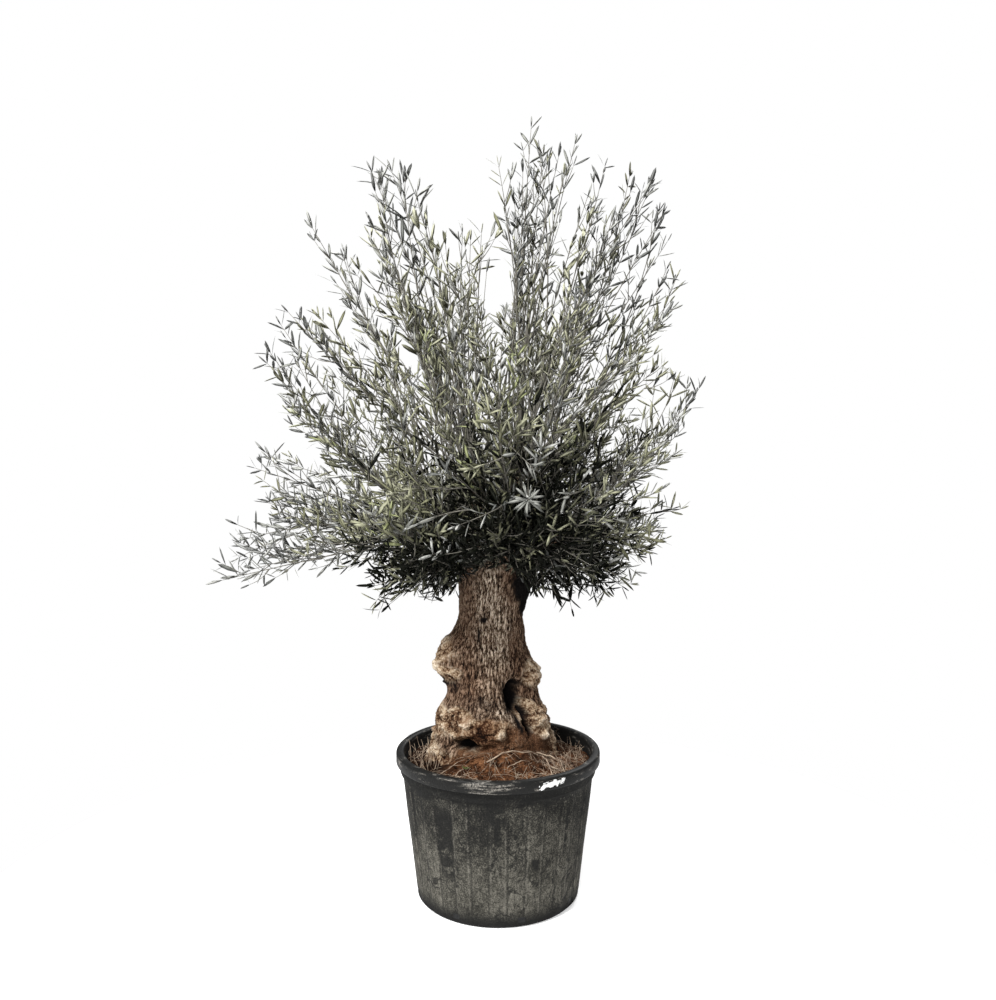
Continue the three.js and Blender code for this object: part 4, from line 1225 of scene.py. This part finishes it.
class Sprays:
    """Twigs and leaves as they grow, kept until they are joined."""

    def __init__(self):
        self.twigs = {}
        self.leaves = []

    def twig(self, line, foot, tip, sides):
        self.twigs.setdefault((len(line), sides), []).append((line, np.linspace(foot, tip, len(line))))

    def nearest(self, place):
        """The point of a grown twig that is nearest to a place."""
        points = np.concatenate([line for grown in self.twigs.values() for line, _ in grown])
        return points[np.linalg.norm(points - place, axis=1).argmin()]

    def clothe(self, line, first, tone, size, splay, gap=PAIR_GAP, lift=1.0, twist=QUARTER_TURN):
        """Opposite pairs along a twig, each turned from the last, and one leaf at its end."""
        steps = np.linalg.norm(np.diff(line, axis=0), axis=1)
        way = np.concatenate([[0], np.cumsum(steps)])
        spacing = gap / (1 - first) / way[-1]
        share = np.arange(0, 1, spacing)
        chance = growth.uniform(0, 0.5, len(share)) * (spacing if len(share) > 1 else 0)
        share = 1 - (1 - share - chance).clip(0, 1) ** CROWDING
        spots = way[-1] * (first + (1 - first) * share)
        along = unit(np.gradient(line, axis=0))
        at = np.stack([np.interp(spots, way, line[:, axis]) for axis in range(3)], -1)
        tangent = unit(np.stack([np.interp(spots, way, along[:, axis]) for axis in range(3)], -1))
        side = unit(np.cross(tangent, across_from(along[-1])))
        other = np.cross(tangent, side)
        turn = growth.uniform(0, math.pi) + np.arange(len(spots)) * twist
        turn = turn + growth.normal(0, 0.25, len(spots))
        out = np.cos(turn)[:, None] * side + np.sin(turn)[:, None] * other
        rows = []
        for hand in (1, -1):
            angle = np.clip(growth.normal(splay, 0.24, len(spots)), 0.3, 1.4)[:, None]
            direction = np.cos(angle) * tangent + hand * np.sin(angle) * out
            direction = unit(direction + (1 - np.abs(tangent[:, 2:])) * lift * UPTURN)
            rows.append((at, direction, tangent))
        rows.append((line[-1:], along[-1:], side[-1:]))
        roots, directions, facings = (np.concatenate(column) for column in zip(*rows))
        directions = unit(directions + growth.normal(0, 0.10, directions.shape))
        ripe = np.concatenate([1 - 0.18 * (spots / way[-1]) ** 4] * 2 + [[1.0]])
        lengths = size * ripe * growth.normal(1.0, 0.13, len(roots)).clip(0.62, 1.3)
        directions[-1] = along[-1]
        lengths[-1] = END_LEAF * size
        tips = roots + directions * lengths[:, None]
        keep = above_skirt(tips + HANG) & open_to_sky(tips) & in_reach(tips)
        number = np.arange(len(roots) - 1, -1, -1)
        for height, every, start in LEFT_OUT:
            keep &= ~((roots[:, 2] > height) & (number % every == start))
        tones = np.full(len(roots), tone)
        self.leaves.append((roots[keep], directions[keep], facings[keep], lengths[keep], tones[keep]))


def open_to_sky(points):
    """True for points that leave the gaps of sky open, as seen from the eye."""
    seen = np.ones(len(points), bool)
    rays = unit(points - np.array(EYE))
    for direction, half in SKY_GAPS:
        seen &= np.linalg.norm(rays - unit(np.array(direction)), axis=-1) > half
    return seen


def pick_tone(place):
    """Deals a spray its tone: near black as painted shade in the crown's heart and under its edge, lighter
    olive round it, partly the leaves' own hue and partly painted light, and grey outside.
    """
    x, y, z = place
    away = math.hypot((x - 0.08) / 0.40, y / 0.66)
    # heart and under mark where painted shade goes: the crown's middle and its underside near the trunk
    heart = np.clip((1.60 - z) / 0.25, 0, 1) * np.clip((1.0 - away) / 0.3, 0, 1)
    under = np.clip((1.27 - z) / 0.12, 0, 1) * np.clip((0.50 - abs(x + 0.04)) / 0.12, 0, 1)
    shade = max(heart, under)
    # Away from the middle the tones turn from the lighter olive ones, partly painted light, to the grey ones
    # outside
    outer = np.clip((math.hypot(x, y / 2, z - 1.45) - 0.50) / 0.30, 0, 1)
    lit = outer * OUTSIDE_TONES + (1 - outer) * INSIDE_TONES
    return int(growth.choice(len(TONES), p=shade * SHADED_TONES + (1 - shade) * lit))


def grow(mass, index, sprays):
    """Main whips to the named tips and a few more, and others that fork from them.

    Each mass has its own chances, so that a change to one leaves the others as they grew.
    """
    global growth
    growth = np.random.default_rng([CROWN_SEED, index])
    tips = list(mass.tips)
    while len(tips) < round(mass.habit["mains"] * min(1, mass.fullness)):
        heading = unit(mass.heading + growth.normal(0, 0.30, 3))
        tip = CROWN_CENTRE + heading * mass.limit(heading) * growth.uniform(0.75, 0.97)
        if mass.fits(tip):
            tips.append(tip)
    mains = [grow_whip(mass, mass.fork + growth.normal(0, 0.006, 3), tip, sprays) for tip in tips]
    wanted = round(mass.reach * mass.habit["whips"] * mass.fullness)
    for _ in range(wanted * TRIES):
        main = mains[growth.integers(len(mains))]
        start = main[growth.integers(*FORK_STEPS)]
        way = main[-1] - start
        heading = unit(way + growth.normal(0, mass.habit["stray"], 3) * np.linalg.norm(way))
        tip = start + heading * np.linalg.norm(way) * growth.uniform(*mass.habit["far"])
        if wanted and mass.fits(tip):
            grow_whip(mass, start, tip, sprays)
            wanted -= 1


def across_from(along):
    """An axis that lies well across a direction."""
    return np.array([0, 0, 1.0]) if abs(along[2]) < 0.85 else np.array([1.0, 0, 0])


def sideways(along, turn):
    """The direction square to a twig at a turn about it."""
    side = unit(np.cross(along, across_from(along)))
    return math.cos(turn) * side + math.sin(turn) * np.cross(along, side)


def grow_whip(mass, start, tip, sprays):
    """A long shoot to a tip, with side shoots turned by the golden angle; returns its line."""
    leaf_size = growth.uniform(*LEAF_LENGTH) * mass.leaf_scale
    length = np.linalg.norm(tip - start) - leaf_size * END_LEAF
    end = start + unit(tip - start) * length
    arch = np.array([0, 0, mass.habit["arch"]])
    for attempt in range(TRIES):
        bow = growth.normal(0, BOW, 3) * (1 + WIDER_BOW * attempt) + arch
        line = bezier(start, (start + end) / 2 + bow * length, end, WHIP_STEPS)
        if open_to_sky(line[3:]).all():
            break
    sprays.twig(line, WHIP_FOOT + WHIP_SWELLING * length, WHIP_TIP, WHIP_SIDES)
    bare = mass.habit["bare"]
    sprays.clothe(line, bare, pick_tone(line[TONE_STEP]), leaf_size, mass.habit["splay"])
    along = unit(np.gradient(line, axis=0))
    gap = mass.habit["gap"] / min(1, mass.fullness) ** 0.5
    lowest = bare * FIRST_SHOOT
    shoots = max(FEWEST_SHOOTS, round(length * (LAST_SHOOT - lowest) / gap))
    first_turn = growth.uniform(0, 2 * math.pi)
    for shoot in range(shoots):
        share = shoot / (shoots - 1)
        place = (lowest + (LAST_SHOOT - lowest) * share) * WHIP_STEPS
        step = int(place)
        root = line[step] + (line[step + 1] - line[step]) * (place - step)
        angle = growth.uniform(*mass.habit["angle"])
        out = sideways(along[step], first_turn + shoot * GOLDEN_ANGLE)
        direction = math.cos(angle) * along[step] + math.sin(angle) * out
        low, high = mass.habit["side"]
        reach = (high + (low - high) * share) * growth.uniform(0.7, 1.25)
        grow_shoot(mass, root, direction, along[step], reach, leaf_size, sprays)
    return line


def grow_shoot(mass, root, direction, along, reach, leaf_size, sprays):
    """A side shoot that bends some way back to its whip, shortened until it lies in the mass's space."""
    bend = unit(direction * 0.55 + along * 0.45 + SHOOT_RISE)
    while reach > SHORTEST_SHOOT:
        middle = root + direction * reach * 0.5
        line = bezier(root, middle, middle + bend * reach * 0.5, SHOOT_STEPS)
        held = mass.holds(line[2:], SHOOT_MARGIN) & open_to_sky(line[2:])
        if held.all() and in_reach(line).all():
            sprays.twig(line, *SHOOT_TAPER, SHOOT_SIDES)
            tone = pick_tone(line[-1])
            size = leaf_size * growth.uniform(0.85, 1.05)
            sprays.clothe(line, BARE_SHOOT, tone, size, mass.habit["splay"])
            return
        reach *= SHORTENING


def grow_inner(mass, sprays, count):
    """Short leafy sprigs on the bough itself, which fill the heart of the crown and keep it dark, partly by
    the shade that they cast and partly by the near-black painted-shade tone that many of them are dealt.
    """
    wood = bezier(mass.root, mass.bend, mass.fork, 20)
    for _ in range(count):
        root = wood[growth.integers(9, 21)]
        heading = unit(mass.heading + growth.normal(0, 0.75, 3))
        tip = root + heading * growth.uniform(0.10, 0.26)
        if above_skirt(tip[None])[0]:
            line = bezier(root, (root + tip) / 2 + growth.normal(0, 0.012, 3), tip, SHOOT_STEPS)
            sprays.twig(line, *INNER_TAPER, SHOOT_SIDES)
            tone = pick_tone(tip)
            size = growth.uniform(*INNER_LEAF_LENGTH)
            sprays.clothe(line, BARE_INNER, tone, size, mass.habit["splay"])


def leaf_arrays(roots, directions, facings, lengths):
    """Closed narrow blades: a low dome of eight faces over a flat underside of six."""
    count = len(roots)
    roll = growth.normal(0, 0.55, count)[:, None]
    across = unit(np.cross(facings, directions))
    normal = np.cross(directions, across)
    rolled = np.cos(roll) * across + np.sin(roll) * normal
    normal = np.cos(roll) * normal - np.sin(roll) * across
    widths = lengths * growth.normal(LEAF_WIDTH, 0.020, count).clip(0.11, 0.20)
    bend = growth.normal(0.08, 0.08, count) * lengths
    lift = widths[:, None] * LEAF_DOME - (LEAF_ALONG**2)[None] * bend[:, None]
    vertices = roots[:, None] + (lengths[:, None] * LEAF_ALONG)[..., None] * directions[:, None]
    vertices = vertices + (widths[:, None] * LEAF_ACROSS)[..., None] * rolled[:, None]
    vertices = vertices + lift[..., None] * normal[:, None]
    crest = len(LEAF_RIM)
    dome = [(first, second, crest) for first, second in zip(LEAF_RIM, LEAF_RIM[1:] + LEAF_RIM[:1])]
    pattern = np.array(dome + LEAF_UNDERSIDE)
    triangles = pattern[None] + np.arange(count)[:, None, None] * len(LEAF_ALONG)
    kinds = np.tile(np.repeat([0, 1], [len(dome), len(LEAF_UNDERSIDE)]), count)
    return vertices.reshape(-1, 3), triangles.reshape(-1, 3), kinds


def make_weed():
    """A tiny green sprout in the earth at the front."""
    leaf = np.arange(WEED_LEAVES)
    turn = leaf * GOLDEN_ANGLE
    roots = np.tile([*WEED_PLACE, earth_surface(*WEED_PLACE)], (WEED_LEAVES, 1))
    out = np.stack([np.cos(turn), np.sin(turn), 0.7 + 0.12 * leaf], -1)
    upright = np.tile([0, 0, 1.0], (WEED_LEAVES, 1))
    lengths = np.linspace(0.020, 0.012, WEED_LEAVES)
    vertices, triangles, _ = leaf_arrays(roots, unit(out), upright, lengths)
    green = Finish("weed", base_color=(0.070, 0.120, 0.020), roughness=0.6)
    show(joined_mesh("weed", vertices, triangles), "weed", [green])


def make_crown(twig_finish):
    masses = []
    for reach, tips in BOUGHS.values():
        bough = bough_line(reach, tips)
        masses.extend(Mass(name, whips, bough) for name, whips in tips.items())
    sprays = Sprays()
    for mass in masses:
        mass.know(masses)
    for index, mass in enumerate(masses):
        grow(mass, index, sprays)
        grow_inner(mass, sprays, round(INNER_SPRIGS * mass.fullness))
    for turn, tip, tone, bare, splay, gap, twist in FRONT_SPRIGS:
        line = bezier(sprays.nearest(np.array(turn)), np.array(turn), np.array(tip), WHIP_STEPS)
        sprays.twig(line, *SPRIG_TAPER, WHIP_SIDES)
        number = TONE_NAMES.index(tone)
        sprays.clothe(line, bare, number, SPRIG_LEAF_LENGTH, splay, gap, SPRIG_LIFT, twist)
    for foot, turn, tip in BARE_WHIPS:
        line = bezier(sprays.nearest(np.array(foot)), np.array(turn), np.array(tip), WHIP_STEPS)
        sprays.twig(line, *BARE_WHIP_TAPER, WHIP_SIDES)
    parts = []
    for (_, sides), grown in sprays.twigs.items():
        lines, girths = (np.array(column) for column in zip(*grown))
        parts.append(tubes(lines, girths, sides))
    show(joined_mesh("twigs", *merged(parts)), "twigs", [twig_finish], masses_in_cad)
    roots, directions, facings, lengths, dealt = (np.concatenate(column) for column in zip(*sprays.leaves))
    for index, (name, upper, under) in enumerate(TONES):
        mine = dealt == index
        arrays = leaf_arrays(roots[mine], directions[mine], facings[mine], lengths[mine])
        mesh = joined_mesh(f"leaves_{name}", *arrays)
        show(mesh, f"leaves_{name}", make_leaf_finishes(name, upper, under), masses_in_cad)


# Studio

def make_floor():
    bm = bmesh.new()
    bmesh.ops.create_circle(bm, cap_ends=True, segments=96, radius=1.7)
    mesh = bpy.data.meshes.new("floor")
    bm.to_mesh(mesh)
    bm.free()
    floor = bpy.data.objects.new("floor", mesh)
    bpy.context.scene.collection.objects.link(floor)
    pale = Finish("pale_floor", base_color=(0.86, 0.86, 0.86), roughness=0.9)
    pale.set(emission_color=(1.0, 1.0, 1.0), emission_strength=0.42)
    mesh.materials.append(pale.material)


def make_light(name, place, aim, size, power):
    data = bpy.data.lights.new(name, "AREA")
    data.shape = "DISK"
    data.size = size
    data.energy = power
    light = bpy.data.objects.new(name, data)
    light.location = place
    light.rotation_euler = (Vector(aim) - Vector(place)).to_track_quat("-Z", "Y").to_euler()
    bpy.context.scene.collection.objects.link(light)


def make_studio():
    camera = bpy.data.objects.new("camera", bpy.data.cameras.new("camera"))
    camera.data.lens = LENS
    camera.data.sensor_width = 36
    camera.data.clip_end = 100
    camera.location = EYE
    camera.rotation_euler = (math.pi / 2 - TILT, 0, 0)
    bpy.context.scene.collection.objects.link(camera)
    bpy.context.scene.camera = camera
    make_room()
    make_light("key", (-2.3, -3.2, 4.8), (0, 0, 1.2), 1.2, 520)
    make_light("front", (-0.7, -4.6, 2.1), (0, 0, 0.7), 1.4, 105)
    make_light("back", (1.8, 3.4, 4.2), (0, 0, 1.3), 2.5, 200)


def make_room():
    """A dim even light all round, against a white ground."""
    world = bpy.data.worlds.new("white_room")
    world.use_nodes = True
    nodes, links = world.node_tree.nodes, world.node_tree.links
    light = nodes["Background"]
    light.inputs["Strength"].default_value = 0.24
    light.inputs["Color"].default_value = (1, 1, 1, 1)
    ground = nodes.new("ShaderNodeBackground")
    ground.inputs["Color"].default_value = (1, 1, 1, 1)
    seen = nodes.new("ShaderNodeLightPath")
    mix = nodes.new("ShaderNodeMixShader")
    links.new(seen.outputs["Is Camera Ray"], mix.inputs[0])
    links.new(light.outputs[0], mix.inputs[1])
    links.new(ground.outputs[0], mix.inputs[2])
    links.new(mix.outputs[0], nodes["World Output"].inputs["Surface"])
    bpy.context.scene.world = world
    bpy.context.scene.view_settings.view_transform = "Standard"


make_studio()
make_floor()
make_pot()
make_scrap()
earth_finish = make_earth_finish()
bark_finish = make_bark_finish()
twig_finish = make_twig_finish()
make_earth(earth_finish)
make_crumbs(earth_finish)
straw_finish = make_straw_finish()
make_grass(straw_finish)
make_pale_twigs(straw_finish)
make_stalks(straw_finish)
make_trunk(bark_finish)
make_boughs(bark_finish)
make_crown(twig_finish)
make_weed()
